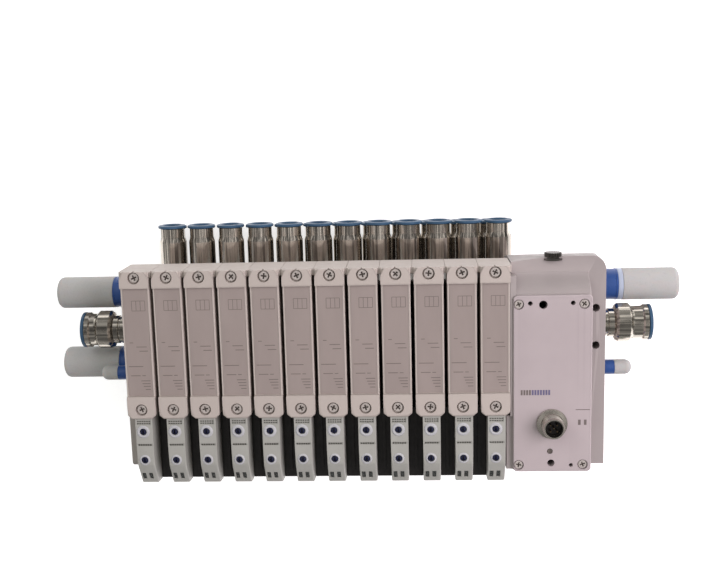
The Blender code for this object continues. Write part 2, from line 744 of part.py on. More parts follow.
def make_materials():
    """One material for each kind of piece."""
    return {
        "valve": make_material("valve_grey", (0.62, 0.60, 0.57), 0.5),
        "manifold": make_material("manifold_grey", (0.45, 0.44, 0.42), 0.5),
        "end_plate": make_material("end_plate_grey", (0.62, 0.60, 0.57), 0.5),
        "housing": make_material("housing_grey", (0.64, 0.62, 0.61), 0.5),
        "cover": make_material("cover_grey", (0.66, 0.64, 0.63), 0.5),
        "override": make_material("override_blue", (0.04, 0.07, 0.35), 0.4),
        "spool": make_material("spool_steel", (0.6, 0.6, 0.6), 0.3, 1.0),
        "silencer": make_material("silencer_white", (0.85, 0.86, 0.88), 0.8),
        "nickel": make_material("nickel", (0.66, 0.62, 0.56), 0.25, 1.0),
    }


def main():
    """Build the whole terminal."""
    clear_scene()
    parts = make_collection("valve_terminal")
    cutters = make_collection("cutters")
    materials = make_materials()
    make_valves(parts, cutters, materials)
    make_manifold(parts, cutters, materials)
    make_end_plate(parts, cutters, materials)
    make_connection_block(parts, cutters, materials)
    make_connector(parts, materials)
    make_end_fittings(parts, materials)


main()
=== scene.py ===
"""Looks of the valve terminal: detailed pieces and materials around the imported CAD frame."""

import math

import bmesh
import bpy
from mathutils import Euler, Matrix, Vector


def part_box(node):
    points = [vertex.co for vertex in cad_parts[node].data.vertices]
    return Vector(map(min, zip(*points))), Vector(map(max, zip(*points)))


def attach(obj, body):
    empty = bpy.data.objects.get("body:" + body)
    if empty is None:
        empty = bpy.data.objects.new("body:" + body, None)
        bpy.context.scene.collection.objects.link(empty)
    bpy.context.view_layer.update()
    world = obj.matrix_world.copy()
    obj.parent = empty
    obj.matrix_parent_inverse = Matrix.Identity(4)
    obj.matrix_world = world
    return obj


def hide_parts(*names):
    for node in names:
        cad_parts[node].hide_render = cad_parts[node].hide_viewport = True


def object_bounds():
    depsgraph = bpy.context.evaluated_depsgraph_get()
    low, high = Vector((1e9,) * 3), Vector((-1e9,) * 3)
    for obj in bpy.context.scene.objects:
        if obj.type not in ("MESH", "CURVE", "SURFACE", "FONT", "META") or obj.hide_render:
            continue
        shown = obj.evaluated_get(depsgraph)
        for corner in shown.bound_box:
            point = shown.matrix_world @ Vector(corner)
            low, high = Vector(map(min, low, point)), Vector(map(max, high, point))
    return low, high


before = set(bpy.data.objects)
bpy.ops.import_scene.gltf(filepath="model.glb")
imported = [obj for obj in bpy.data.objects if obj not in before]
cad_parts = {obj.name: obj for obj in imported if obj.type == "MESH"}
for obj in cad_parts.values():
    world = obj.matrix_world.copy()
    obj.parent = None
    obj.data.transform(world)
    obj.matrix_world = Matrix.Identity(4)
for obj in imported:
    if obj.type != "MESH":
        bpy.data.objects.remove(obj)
cad_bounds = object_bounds()

MM = 0.001  # sizes below are in millimetres, and are scaled once, when a mesh is made
ROOT = "root"
ORIGIN = (0, 0, 0)
UP = (0, 0, 1)
NEAR = 0.01  # how close a point lies to a face that it belongs to
OVER = 1.0  # how far a cutter sticks out of what it cuts
SIDES = 48  # round a large turned piece
SMALL_SIDES = 32
HOLE_SIDES = 24
SHARP = math.radians(35)  # edges that turn more than this stay sharp or are rounded


def span(node):
    """Lowest and highest corner of a CAD node, in millimetres."""
    low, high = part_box(node)
    return low / MM, high / MM


# Places taken from the frame
STATION_NAMES = sorted(name[-2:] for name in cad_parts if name.startswith("valve_"))
STATION_X = {tag: sum(corner.x for corner in span("valve_" + tag)) / 2 for tag in STATION_NAMES}
LAST = STATION_NAMES[-1]
PITCH = STATION_X["02"] - STATION_X["01"]
VALVE_LOW, VALVE_HIGH = span("valve_01")
FACE_Z = VALVE_HIGH.z
SEAT_Z = VALVE_LOW.z
BACK_Y = VALVE_HIGH.y
PILOT_END_Y = VALVE_LOW.y
SPOOL_LOW, SPOOL_HIGH = span("spool_01")
BASE_LOW, BASE_HIGH = span("manifold_base")
PLATE_LOW, PLATE_HIGH = span("left_end_plate")
HOUSING_LOW, HOUSING_HIGH = span("connection_housing")
COVER_LOW, COVER_HIGH = span("connection_cover")
CONNECTOR_LOW, CONNECTOR_HIGH = span("m12_connector")

# Valve body
HALF = (PITCH - 2.0) / 2  # half a body's width, with a gap to the next one
BODY_END_Y = -17.4
BODY_CUT = (2.4, 2.0)  # corners cut off at the body's pilot end
LOWER_CAP_Y = -4.4
CAP_Y = BACK_Y - 9.4
CAP_HALF = HALF + 0.15
CAP_CUT = (2.0, 4.0)  # corners cut off at the upper cap's far end
CAP_EDGE = 0.35  # rounding of a cap's edge beside the label
LABEL_Z = FACE_Z - 1.4  # face of the body between its caps
CAP_FOOT_Z = LABEL_Z - 3.5
SHOULDER_HALF = (PITCH - 0.06) / 2
SHOULDER_Y = (BACK_Y - 4.0, BACK_Y - 0.2)
SHOULDER_Z = FACE_Z - 3.3
LABEL_SEAT = (1.0, 0.35)  # border of the label's recess, and its depth
LABEL_BORDER = 1.2
LABEL_TOP = LABEL_Z - 0.08
SCREW_Y = {"upper": 63.1, "lower": -12.0}
RECESS_RADIUS = 3.35
RECESS_DEPTH = 2.6
SCREW_RADIUS = 2.65
SCREW_TOP = FACE_Z - 0.9
SCREW_CROSS = 0.9  # depth of the cross in a screw's head
BORE_RADIUS = 4.3
PORT_COUNT = 5
PORT_PITCH = 12.5
PORT_HALF_X = 3.0
PORT_HALF_Y = 2.0

# Pilot
PILOT_LEFT, PILOT_RIGHT = -4.3, 5.5
PILOT_Z = FACE_Z - 1.0
PILOT_FOOT_Z = SEAT_Z + 1.0
PILOT_START_Y = BODY_END_Y - 0.05
SLOPE_Y = -44.9  # where the pilot's face starts to slope down
SLOPE_END_Z = PILOT_Z - 8.0
SLOPE = math.atan2(PILOT_Z - SLOPE_END_Z, SLOPE_Y - PILOT_END_Y)
BUTTON_RADIUS = 1.75
COLLAR_RADII = {"upper": 3.7, "lower": 3.1}
COLLAR_HEIGHT = 0.6
WINDOW_X = (-2.15, 1.75)
WINDOW_DEPTH = 0.9
PANE_Z = -0.4
# Shallow recesses: X range, Y range and depth
PILOT_RECESSES = ((-3.6, 4.8, -33.4, -32.0, 0.4), (-3.6, 4.4, -20.9, -18.1, 0.5))
# Rows of marks in them: Y, height, width of a mark, and depth of the recess. The two rows just below the cap
# are partly print and partly painted shade of the cap.
MARK_ROWS = ((-33.2, 0.8, 1.0, 0.4), (-20.6, 0.6, 0.9, 0.5), (-19.4, 0.6, 0.9, 0.5))
# the black link between two pilots is partly painted shade for the deep gap between them
LINK_Z = 84.0  # top of the black link between two pilots

# Work port fittings: offset from the station, height of the axis and length, for each row
FITTING_ROWS = {"front": (7.0, 30.0, 29.0), "rear": (3.8, 12.0, 26.5)}
BASE_BACK_Y = BASE_HIGH.y - FITTING_ROWS["front"][2]

# Ports on the two ends: Y, Z and radius
PORTS = {
    "silencer_upper": (46.4, 48.0, 6.5),
    "silencer_lower": (3.5, 48.0, 6.5),
    "supply": (25.6, 58.0, 7.0),
    "pilot_silencer": (0.6, 64.0, 2.9),
}
SPIGOT = 4.5  # how deep an end fitting reaches into its port

# Connection block
BLOCK_X = 0.3 - BASE_LOW.x  # left face, against the manifold
SHELF_Z = 88.0
DECK = (63.5, 44.0)  # Y and Z of the underside's lower corner
FOOT_BACK_Y = 52.5
PEDESTAL_X = COVER_HIGH.x - 0.3
PEDESTAL_Z = COVER_HIGH.z - 2.7
SCOOP = (11.0, 9.0)  # run and rise of the concave blend behind the cover
SCOOP_STEPS = 12
LEDGE_Y = -18.2
LEDGE_LOW, LEDGE_HIGH = 70.6, 96.4
WALL = 6.0
SHELF_HOLES = ((154.9, 40.4), (155.0, 19.3))
CONNECTOR_X = (CONNECTOR_LOW.x + CONNECTOR_HIGH.x) / 2
CONNECTOR_Y = (CONNECTOR_LOW.y + CONNECTOR_HIGH.y) / 2
COVER_SCREWS = ((111.5, 45.2), (146.8, 45.1), (111.5, -45.8), (146.7, -45.7))
# Small holes in the cover: X, Y and radius
COVER_HOLES = (
    (117.7, 45.7, 1.25), (140.7, 45.7, 1.25), (140.3, -46.0, 1.1), (124.7, 44.9, 2.3), (129.3, -44.7, 2.0),
)
COVER_SCREW_RADIUS = 2.35
COVER_SCREW_TOP = -0.45  # from the cover's face
LAMP = (128.7, -37.9)
EARTH = (131.4, 86.5)  # middle of the earthing screw on the block's back, as (X, Z)
INK = (0.01, 0.05)  # bottom and top of what is printed on the cover, above its face


# Mesh helpers

def rounded(corners, closed=True, steps=5):
    """Points of an outline given as (u, v, radius) corners, with an arc at each corner that has a radius."""
    points = []
    for index, (u, v, radius) in enumerate(corners):
        here = Vector((u, v))
        is_end = not closed and index in (0, len(corners) - 1)
        if radius <= 0 or is_end:
            points.append(here)
            continue
        to_before = (Vector(corners[index - 1][:2]) - here).normalized()
        to_after = (Vector(corners[(index + 1) % len(corners)][:2]) - here).normalized()
        half = to_before.angle(to_after) / 2
        centre = here + (to_before + to_after).normalized() * (radius / math.sin(half))
        first = here + to_before * (radius / math.tan(half)) - centre
        last = here + to_after * (radius / math.tan(half)) - centre
        start = math.atan2(first.y, first.x)
        turn = (math.atan2(last.y, last.x) - start + math.pi) % (2 * math.pi) - math.pi
        for step in range(steps + 1):
            angle = start + turn * step / steps
            points.append(centre + Vector((math.cos(angle), math.sin(angle))) * radius)
    return points


def rectangle(x_low, x_high, y_low, y_high, radius=0.0, steps=5):
    """Points of a rectangle with rounded corners."""
    corners = ((x_low, y_low), (x_high, y_low), (x_high, y_high), (x_low, y_high))
    return rounded([(*corner, radius) for corner in corners], steps=steps)


def circle(x, y, radius, sides=SIDES):
    """Points of a circle."""
    angles = [2 * math.pi * k / sides for k in range(sides)]
    return [Vector((x + radius * math.cos(a), y + radius * math.sin(a))) for a in angles]


def prism(outline, low, high, axis="Z"):
    """Solid drawn out along an axis. Its outline is (y, z) for X, (x, z) for Y and (x, y) for Z."""
    order = {"X": lambda u, v, w: (w, u, v), "Y": lambda u, v, w: (u, w, v), "Z": lambda u, v, w: (u, v, w)}
    spot = order[axis]
    shape = bmesh.new()
    face = shape.faces.new([shape.verts.new(spot(u, v, low)) for u, v in outline])
    made = bmesh.ops.extrude_face_region(shape, geom=[face])
    moved = [item for item in made["geom"] if isinstance(item, bmesh.types.BMVert)]
    bmesh.ops.translate(shape, vec=Vector(spot(0, 0, high - low)), verts=moved)
    bmesh.ops.recalc_face_normals(shape, faces=shape.faces)
    return shape


def block(low, high):
    """Solid box between two corners."""
    return prism(rectangle(low[0], high[0], low[1], high[1]), low[2], high[2])


def lathe(corners, sides=SIDES, steps=5, closed=False):
    """Turn (radius, height, arc radius) corners about Z. Unless closed, they start and end on the axis."""
    shape = bmesh.new()
    verts = [shape.verts.new((radius, 0.0, height)) for radius, height in rounded(corners, closed, steps)]
    first = 0 if closed else 1
    edges = [shape.edges.new((verts[k - 1], verts[k])) for k in range(first, len(verts))]
    bmesh.ops.spin(
        shape, geom=verts + edges, cent=ORIGIN, axis=UP, angle=2 * math.pi, steps=sides, use_merge=True,
    )
    bmesh.ops.remove_doubles(shape, verts=shape.verts, dist=1e-4)
    bmesh.ops.recalc_face_normals(shape, faces=shape.faces)
    return shape


def round_edges(shape, width, chosen, segments=4):
    """Round the edges of a shape whose two ends both satisfy a test."""
    edges = [edge for edge in shape.edges if all(chosen(vert.co) for vert in edge.verts)]
    edges = [edge for edge in edges if edge.calc_face_angle(0.0) > SHARP]
    bmesh.ops.bevel(
        shape, geom=edges, offset=width, segments=segments, profile=0.5, affect="EDGES", clamp_overlap=True,
    )
    return shape


def above(height):
    """Test for points at or over a height."""
    return lambda point: point.z > height - NEAR


def aim(shape, axis, base):
    """Turn a shape's Z axis to another direction and move its origin to base."""
    turn = Vector(UP).rotation_difference(Vector(axis)).to_matrix().to_4x4()
    bmesh.ops.transform(shape, matrix=Matrix.Translation(Vector(base)) @ turn, verts=shape.verts)
    return shape


def shift(shape, offset):
    """Move a shape."""
    bmesh.ops.translate(shape, vec=Vector(offset), verts=shape.verts)
    return shape


def merge(*shapes):
    """Several separate shapes as one."""
    whole = bmesh.new()
    for shape in shapes:
        mesh = bpy.data.meshes.new("part")
        shape.to_mesh(mesh)
        shape.free()
        whole.from_mesh(mesh)
        bpy.data.meshes.remove(mesh)
    return whole


def draft(shape, name="draft"):
    """Scratch object of a shape, still in millimetres."""
    mesh = bpy.data.meshes.new(name)
    shape.to_mesh(mesh)
    shape.free()
    return linked(name, mesh)


def linked(name, data):
    """Object in the scene."""
    obj = bpy.data.objects.new(name, data)
    bpy.context.scene.collection.objects.link(obj)
    return obj


def evaluated(obj):
    """The mesh that an object's modifiers make. The object is removed."""
    bpy.context.view_layer.update()
    mesh = bpy.data.meshes.new_from_object(obj.evaluated_get(bpy.context.evaluated_depsgraph_get()))
    bpy.data.objects.remove(obj, do_unlink=True)
    return mesh


def combine(shape, *steps):
    """Join, cut or keep a shape by tools, each given as (operation, tool shape)."""
    for operation, tool in steps:
        target = draft(shape)
        helper = draft(tool)
        modifier = target.modifiers.new("Boolean", "BOOLEAN")
        modifier.operation = operation
        modifier.object = helper
        mesh = evaluated(target)
        bpy.data.objects.remove(helper, do_unlink=True)
        shape = bmesh.new()
        shape.from_mesh(mesh)
        bpy.data.meshes.remove(mesh)
        bmesh.ops.remove_doubles(shape, verts=shape.verts, dist=1e-3)
    return shape


def finished(name, shape, material, bevel=0.0):
    """Finished mesh in metres: optional fine bevel on sharp edges, smooth shading and weighted normals."""
    obj = draft(shape, name)
    if bevel:
        modifier = obj.modifiers.new("Bevel", "BEVEL")
        modifier.width = bevel
        modifier.segments = 2
        modifier.limit_method = "ANGLE"
        modifier.angle_limit = SHARP
        modifier.use_clamp_overlap = True
    mesh = evaluated(obj)
    mesh.transform(Matrix.Scale(MM, 4))
    mesh.shade_smooth()
    mesh.set_sharp_from_angle(angle=SHARP)
    holder = linked(name, mesh)
    weighting = holder.modifiers.new("Normals", "WEIGHTED_NORMAL")
    weighting.weight = 100
    weighting.keep_sharp = True
    mesh = evaluated(holder)
    mesh.name = name
    mesh.materials.clear()
    mesh.materials.append(MATERIALS[material])
    return mesh


def piece(name, mesh, place=ORIGIN, slot=None, replaces=(), body=ROOT):
    """Show a finished mesh as a piece that rides on a body."""
    obj = linked(name, mesh)
    obj.location = Vector(place) * MM
    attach(obj, body)
    if replaces:
        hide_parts(*replaces)
    return obj


def single(name, shape, material, bevel=0.0, **where):
    """Finish a shape and show it once."""
    return piece(name, finished(name, shape, material, bevel), **where)


# Materials

class Surface:
    """A Principled material with its node tree, and short ways to add textures to it."""

    def __init__(self, name, **constants):
        self.material = bpy.data.materials.new(name)
        self.material.use_nodes = True
        self.tree = self.material.node_tree
        self.shader = self.tree.nodes["Principled BSDF"]
        for socket, value in constants.items():
            self.shader.inputs[socket.replace("_", " ")].default_value = value
        coordinates = self.tree.nodes.new("ShaderNodeTexCoord")
        info = self.tree.nodes.new("ShaderNodeObjectInfo")
        offset = self.tree.nodes.new("ShaderNodeVectorMath")
        self.tree.links.new(coordinates.outputs["Object"], offset.inputs[0])
        self.tree.links.new(info.outputs["Random"], offset.inputs[1])
        self.place = offset.outputs[0]

    def link(self, output, socket):
        """Connect an output to one of the shader's sockets."""
        self.tree.links.new(output, self.shader.inputs[socket])

    def noise(self, size, detail=4.0, stretch=(1.0, 1.0, 1.0)):
        """Noise with features of about size millimetres, longer along an axis where stretch is under 1."""
        mapping = self.tree.nodes.new("ShaderNodeMapping")
        mapping.inputs["Scale"].default_value = stretch
        self.tree.links.new(self.place, mapping.inputs["Vector"])
        texture = self.tree.nodes.new("ShaderNodeTexNoise")
        texture.inputs["Scale"].default_value = 1.0 / (size * MM)
        texture.inputs["Detail"].default_value = detail
        texture.inputs["Roughness"].default_value = 0.55
        self.tree.links.new(mapping.outputs[0], texture.inputs["Vector"])
        return texture.outputs["Fac"]

    def cells(self, size):
        """Rounded grains of about size millimetres."""
        texture = self.tree.nodes.new("ShaderNodeTexVoronoi")
        texture.feature = "SMOOTH_F1"
        texture.inputs["Scale"].default_value = 1.0 / (size * MM)
        self.tree.links.new(self.place, texture.inputs["Vector"])
        return texture.outputs["Distance"]

    def ramp(self, factor, *stops):
        """Colours along a factor, as (position, colour) stops."""
        return color_ramp(self.tree, factor, stops)

    def drift(self, factor, color, amount):
        """A colour that is a little darker and a little lighter along a factor."""
        return self.ramp(factor, (0.3, tinted(color, 1 - amount)), (0.7, tinted(color, 1 + amount)))

    def span(self, factor, low, high, start=0.3, end=0.7):
        """A factor's middle stretch spread between two values."""
        node = self.tree.nodes.new("ShaderNodeMapRange")
        node.inputs["From Min"].default_value = start
        node.inputs["From Max"].default_value = end
        node.inputs["To Min"].default_value = low
        node.inputs["To Max"].default_value = high
        self.tree.links.new(factor, node.inputs["Value"])
        return node.outputs["Result"]

    def blend(self, factor, first, second):
        """Mix of a colour output and a second colour, by a factor."""
        node = self.tree.nodes.new("ShaderNodeMix")
        node.data_type = "RGBA"
        self.tree.links.new(factor, node.inputs["Factor"])
        self.tree.links.new(first, node.inputs["A"])
        node.inputs["B"].default_value = (*second, 1.0)
        return node.outputs["Result"]

    def bump(self, height, depth, under=None):
        """Height of depth millimetres, on top of an earlier bump."""
        node = self.tree.nodes.new("ShaderNodeBump")
        node.inputs["Distance"].default_value = depth * MM
        node.inputs["Strength"].default_value = 1.0
        self.tree.links.new(height, node.inputs["Height"])
        if under:
            self.tree.links.new(under, node.inputs["Normal"])
        return node.outputs["Normal"]

    def edges(self, start, end):
        """Share of wear on outer edges."""
        geometry = self.tree.nodes.new("ShaderNodeNewGeometry")
        return self.span(geometry.outputs["Pointiness"], 0.0, 1.0, start, end)


def color_ramp(tree, factor, stops):
    """Colours along a factor in any node tree, as (position, colour) stops."""
    node = tree.nodes.new("ShaderNodeValToRGB")
    elements = node.color_ramp.elements
    while len(elements) < len(stops):
        elements.new(0.5)
    for element, (position, color) in zip(elements, stops):
        element.position = position
        element.color = (*color, 1.0)
    tree.links.new(factor, node.inputs["Fac"])
    return node.outputs["Color"]


def tinted(color, factor):
    """A colour made lighter or darker."""
    return tuple(min(1.0, channel * factor) for channel in color)


def coated_metal(name, color, roughness=0.5, drift=0.07):
    """Painted die-casting: fine orange peel, slow drift of tone, and edges rubbed a little lighter."""
    grain, rubbed = 0.012, 1.22
    surface = Surface(name, Specular_IOR_Level=0.35)
    base = surface.drift(surface.noise(26.0, detail=3.0), color, drift)
    base = surface.blend(surface.edges(0.52, 0.62), base, tinted(color, rubbed))
    surface.link(base, "Base Color")
    surface.link(surface.span(surface.noise(5.0), roughness - 0.08, roughness + 0.08), "Roughness")
    peel = surface.bump(surface.noise(0.55, detail=2.0), grain)
    surface.link(surface.bump(surface.noise(9.0, detail=2.0), grain * 4, peel), "Normal")
    return surface.material


def moulded_plastic(name, color, roughness=0.45, drift=0.06, speck=None):
    """Moulded plastic: faint flow marks, fine texture, and specks of wear."""
    surface = Surface(name, Specular_IOR_Level=0.45)
    base = surface.drift(surface.noise(14.0, detail=4.0, stretch=(1.0, 0.35, 1.0)), color, drift)
    if speck:
        marks = surface.span(surface.noise(1.1, detail=6.0), 0.0, 0.6, 0.62, 0.74)
        base = surface.blend(marks, base, speck)
    surface.link(base, "Base Color")
    surface.link(surface.span(surface.noise(3.0), roughness - 0.1, roughness + 0.1), "Roughness")
    surface.link(surface.bump(surface.noise(0.35, detail=2.0), 0.01), "Normal")
    return surface.material


def plated_metal(name, color, roughness=0.2, lines=(1.0, 1.0, 1.0), metallic=1.0, streaks=0.0):
    """Bright plated metal: tool marks drawn out along one axis, dark streaks along the same axis that are
    painted reflections, smudges and slight tarnish.
    """
    surface = Surface(name, Metallic=metallic)
    tarnish = surface.noise(8.0, detail=5.0)
    base = surface.ramp(tarnish, (0.3, tinted(color, 0.86)), (0.65, color))
    # painted reflection: dark lengthwise streaks in the base colour stand in for the dark streaks the
    # fittings reflect
    if streaks:
        drawn = surface.noise(1.7, detail=1.0, stretch=lines)
        base = surface.blend(surface.span(drawn, 0.0, streaks, 0.44, 0.60), base, tinted(color, 0.3))
    surface.link(base, "Base Color")
    smudge = surface.noise(4.0, detail=5.0)
    surface.link(surface.span(smudge, roughness - 0.02, roughness + 0.04), "Roughness")
    surface.link(surface.bump(surface.noise(0.8, detail=1.0, stretch=lines), 0.0003), "Normal")
    return surface.material


def porous_plastic(name, color):
    """Sintered plastic beads: small rounded grains with darker pores between them."""
    surface = Surface(name, Subsurface_Weight=0.15, Subsurface_Scale=0.002, Specular_IOR_Level=0.2)
    beads = surface.cells(0.75)
    tone = surface.noise(12.0, detail=3.0)
    base = surface.ramp(tone, (0.3, tinted(color, 0.95)), (0.7, color))
    base = surface.blend(surface.span(beads, 0.0, 0.35, 0.45, 0.75), base, tinted(color, 0.8))
    surface.link(base, "Base Color")
    surface.link(surface.span(beads, 0.95, 0.75, 0.2, 0.7), "Roughness")
    surface.link(surface.bump(beads, -0.08), "Normal")
    return surface.material


def rubber(name, color):
    """Matt dark rubber with a dusty, uneven sheen."""
    surface = Surface(name, Specular_IOR_Level=0.3, Sheen_Weight=0.1)
    dust = surface.noise(6.0, detail=6.0)
    surface.link(surface.ramp(dust, (0.4, color), (0.75, tinted(color, 1.8))), "Base Color")
    surface.link(surface.span(dust, 0.6, 0.85), "Roughness")
    surface.link(surface.bump(surface.noise(0.5), 0.02), "Normal")
    return surface.material


def lens(name, color):
    """Dark translucent lens over a small lamp."""
    surface = Surface(name, Coat_Weight=0.4, Coat_Roughness=0.1)
    ribs = surface.noise(0.7, detail=1.0, stretch=(1.0, 0.2, 1.0))
    surface.link(surface.ramp(ribs, (0.35, color), (0.65, tinted(color, 2.4))), "Base Color")
    surface.link(surface.span(ribs, 0.2, 0.35), "Roughness")
    surface.link(surface.bump(ribs, 0.03), "Normal")
    return surface.material


def make_materials():
    """Every material of the terminal, by the name of what wears it."""
    along_x, along_y, along_z = (0.03, 1.0, 1.0), (1.0, 0.03, 1.0), (0.05, 0.05, 1.0)
    return {
        "body": coated_metal("valve_body_coat", (0.375, 0.33, 0.305)),
        "label": moulded_plastic("label_film", (0.30, 0.25, 0.235), 0.42, 0.05),
        "print": moulded_plastic("label_ink", (0.165, 0.135, 0.125), 0.5),
        "mark": moulded_plastic("pilot_ink_and_shade", (0.07, 0.068, 0.06), 0.5),
        "pilot": moulded_plastic("pilot_plastic", (0.36, 0.355, 0.33), 0.42, 0.05, (0.27, 0.27, 0.25)),
        "window": lens("pilot_window", (0.02, 0.022, 0.02)),
        "override": moulded_plastic("override_blue", (0.012, 0.014, 0.04), 0.32),
        # black rubber seal; where it shows in the gaps between valves its black is partly painted shade
        "gasket": rubber("gasket_rubber_gap_shade", (0.012, 0.011, 0.010)),
        "base": coated_metal("manifold_coat", (0.27, 0.26, 0.245), 0.55),
        "plate": coated_metal("end_plate_coat", (0.34, 0.31, 0.29)),
        "housing": coated_metal("housing_coat", (0.318, 0.282, 0.279), 0.48, 0.05),
        "cover": coated_metal("cover_coat", (0.40, 0.345, 0.355), 0.45, 0.05),
        "stripe": moulded_plastic("cover_stripe_ink", (0.135, 0.12, 0.21), 0.5),
        "tick": moulded_plastic("cover_tick_ink", (0.15, 0.125, 0.12), 0.5),
        "lamp": lens("status_lamp_lens", (0.06, 0.05, 0.045)),
        "screw": plated_metal("screw_zinc", (0.54, 0.49, 0.46), 0.35, metallic=0.3),
        # painted shade: near-black for the floor of screw recesses, where the recess lies in shade
        "recess_shade": moulded_plastic("screw_grime", (0.05, 0.04, 0.035), 0.6),
        # lighter than the pilot: painted highlight on the collars round the buttons
        "guide": moulded_plastic("guide_plastic_painted_highlight", (0.44, 0.44, 0.46), 0.4, 0.04),
        "dark_steel": plated_metal("dark_steel", (0.16, 0.15, 0.14), 0.35),
        # black plastic; on the links between pilots it is partly painted shade
        "dark": moulded_plastic("black_plastic", (0.014, 0.012, 0.012), 0.45),
        # the nickel's dark streaks are painted reflections
        "nickel": plated_metal("nickel_plate", (0.74, 0.68, 0.61), 0.12, along_y, streaks=0.85),
        "nickel_end": plated_metal("nickel_plate_end", (0.72, 0.67, 0.59), 0.14, along_x, streaks=0.85),
        "connector": plated_metal("connector_nickel", (0.56, 0.52, 0.47), 0.24, along_z),
        "contact": plated_metal("contact_bronze", (0.16, 0.12, 0.08), 0.35),
        "ring": moulded_plastic("release_ring_blue", (0.034, 0.082, 0.150), 0.4, 0.12),
        "blue": moulded_plastic("silencer_base_blue", (0.027, 0.074, 0.25), 0.35, 0.12),
        "pale_blue": moulded_plastic("silencer_collar_blue", (0.40, 0.45, 0.56), 0.45, 0.05),
        "porous": porous_plastic("silencer_porous", (0.455, 0.448, 0.442)),
        "spool": plated_metal("spool_steel", (0.62, 0.62, 0.62), 0.2, (0.05, 1.0, 0.05)),
    }


MATERIALS = make_materials()


# Valves

def lower_outline(end_y):
    """Plan of the valve body up to end_y, with the corners of its pilot end cut off."""
    cut_x, cut_y = BODY_CUT
    near, far = 1.2, 0.4  # corner radii
    return rounded([
        (-HALF, BODY_END_Y + cut_y, near), (-HALF + cut_x, BODY_END_Y, near),
        (HALF - cut_x, BODY_END_Y, near), (HALF, BODY_END_Y + cut_y, near), (HALF, end_y, far),
        (-HALF, end_y, far),
    ])


def lower_cap():
    """Raised cap at the pilot end."""
    label_side = LOWER_CAP_Y - 0.5
    cap = prism(lower_outline(LOWER_CAP_Y), CAP_FOOT_Z, FACE_Z)
    round_edges(cap, 0.8, lambda p: p.z > FACE_Z - NEAR and p.y < label_side)
    return round_edges(cap, CAP_EDGE, lambda p: p.z > FACE_Z - NEAR and p.y > label_side, 3)


def upper_cap():
    """Raised cap at the work port end, with its far corners cut off and a soft far edge."""
    cut_x, cut_y = CAP_CUT
    near, side, far = 0.4, 1.5, 1.0  # corner radii
    label_side = CAP_Y + 0.5
    cap = prism(rounded([
        (-CAP_HALF, CAP_Y, near), (CAP_HALF, CAP_Y, near), (CAP_HALF, BACK_Y - cut_y, side),
        (CAP_HALF - cut_x, BACK_Y, far), (-CAP_HALF + cut_x, BACK_Y, far),
        (-CAP_HALF, BACK_Y - cut_y, side),
    ]), CAP_FOOT_Z, FACE_Z)
    round_edges(cap, 1.6, lambda p: p.z > FACE_Z - NEAR and p.y > label_side, 5)
    return round_edges(cap, CAP_EDGE, lambda p: p.z > FACE_Z - NEAR and p.y < label_side, 3)


def shoulder():
    """Ridge at the far end that all but closes the gap to the next valve."""
    outline = rectangle(-SHOULDER_HALF, SHOULDER_HALF, *SHOULDER_Y, 0.3, steps=2)
    return round_edges(prism(outline, SEAT_Z + 0.5, SHOULDER_Z), 0.5, above(SHOULDER_Z))


def label_seat():
    """Cutter of the recess that the label lies in."""
    border, depth = LABEL_SEAT
    slack = 0.02
    return block(
        (-HALF + border, LOWER_CAP_Y + slack, LABEL_Z - depth), (HALF - border, CAP_Y - slack, FACE_Z + OVER),
    )


def spool_cutters():
    """Cutters of the spool's bore and of the ports that open into it."""
    middle = (SPOOL_LOW + SPOOL_HIGH) / 2
    low_room, high_room = 2.0, 6.0
    outline = circle(0, middle.z, BORE_RADIUS, HOLE_SIDES)
    bore = prism(outline, SPOOL_LOW.y - low_room, SPOOL_HIGH.y + high_room, "Y")
    ports = []
    for index in range(PORT_COUNT):
        y = middle.y + (index - (PORT_COUNT - 1) / 2) * PORT_PITCH
        low = (-PORT_HALF_X, y - PORT_HALF_Y, SEAT_Z - OVER)
        ports.append(block(low, (PORT_HALF_X, y + PORT_HALF_Y, middle.z - OVER)))
    return bore, merge(*ports)


def valve_body_shape():
    """Valve body with both caps, the label recess, the screw recesses and the spool's bore and ports."""
    core = prism(lower_outline(BACK_Y - 0.4), SEAT_Z, LABEL_Z)
    round_edges(core, 0.8, above(LABEL_Z))
    recesses = []
    for y in SCREW_Y.values():
        recesses.append(prism(circle(0, y, RECESS_RADIUS), FACE_Z - RECESS_DEPTH, FACE_Z + OVER))
    notch = prism(circle(-0.3, BACK_Y - 0.2, 0.45, sides=16), FACE_Z - 3.5, FACE_Z + OVER)
    bore, ports = spool_cutters()
    return combine(
        core,
        ("UNION", shoulder()),
        ("UNION", upper_cap()),
        ("UNION", lower_cap()),
        ("DIFFERENCE", label_seat()),
        ("DIFFERENCE", merge(*recesses)),
        ("DIFFERENCE", notch),
        ("DIFFERENCE", bore),
        ("DIFFERENCE", ports),
    )


def label_shape():
    """Thin label lying in the body's recess."""
    half = HALF - LABEL_BORDER
    outline = rectangle(-half, half, LOWER_CAP_Y + 0.3, CAP_Y - 0.3, 0.5)
    return round_edges(prism(outline, LABEL_TOP - 0.25, LABEL_TOP), 0.06, above(LABEL_TOP), 2)


def print_bar(x_low, x_high, y_low, y_high):
    """One printed bar on the label."""
    return block((x_low, y_low, LABEL_TOP - 0.005), (x_high, y_high, LABEL_TOP + 0.03))


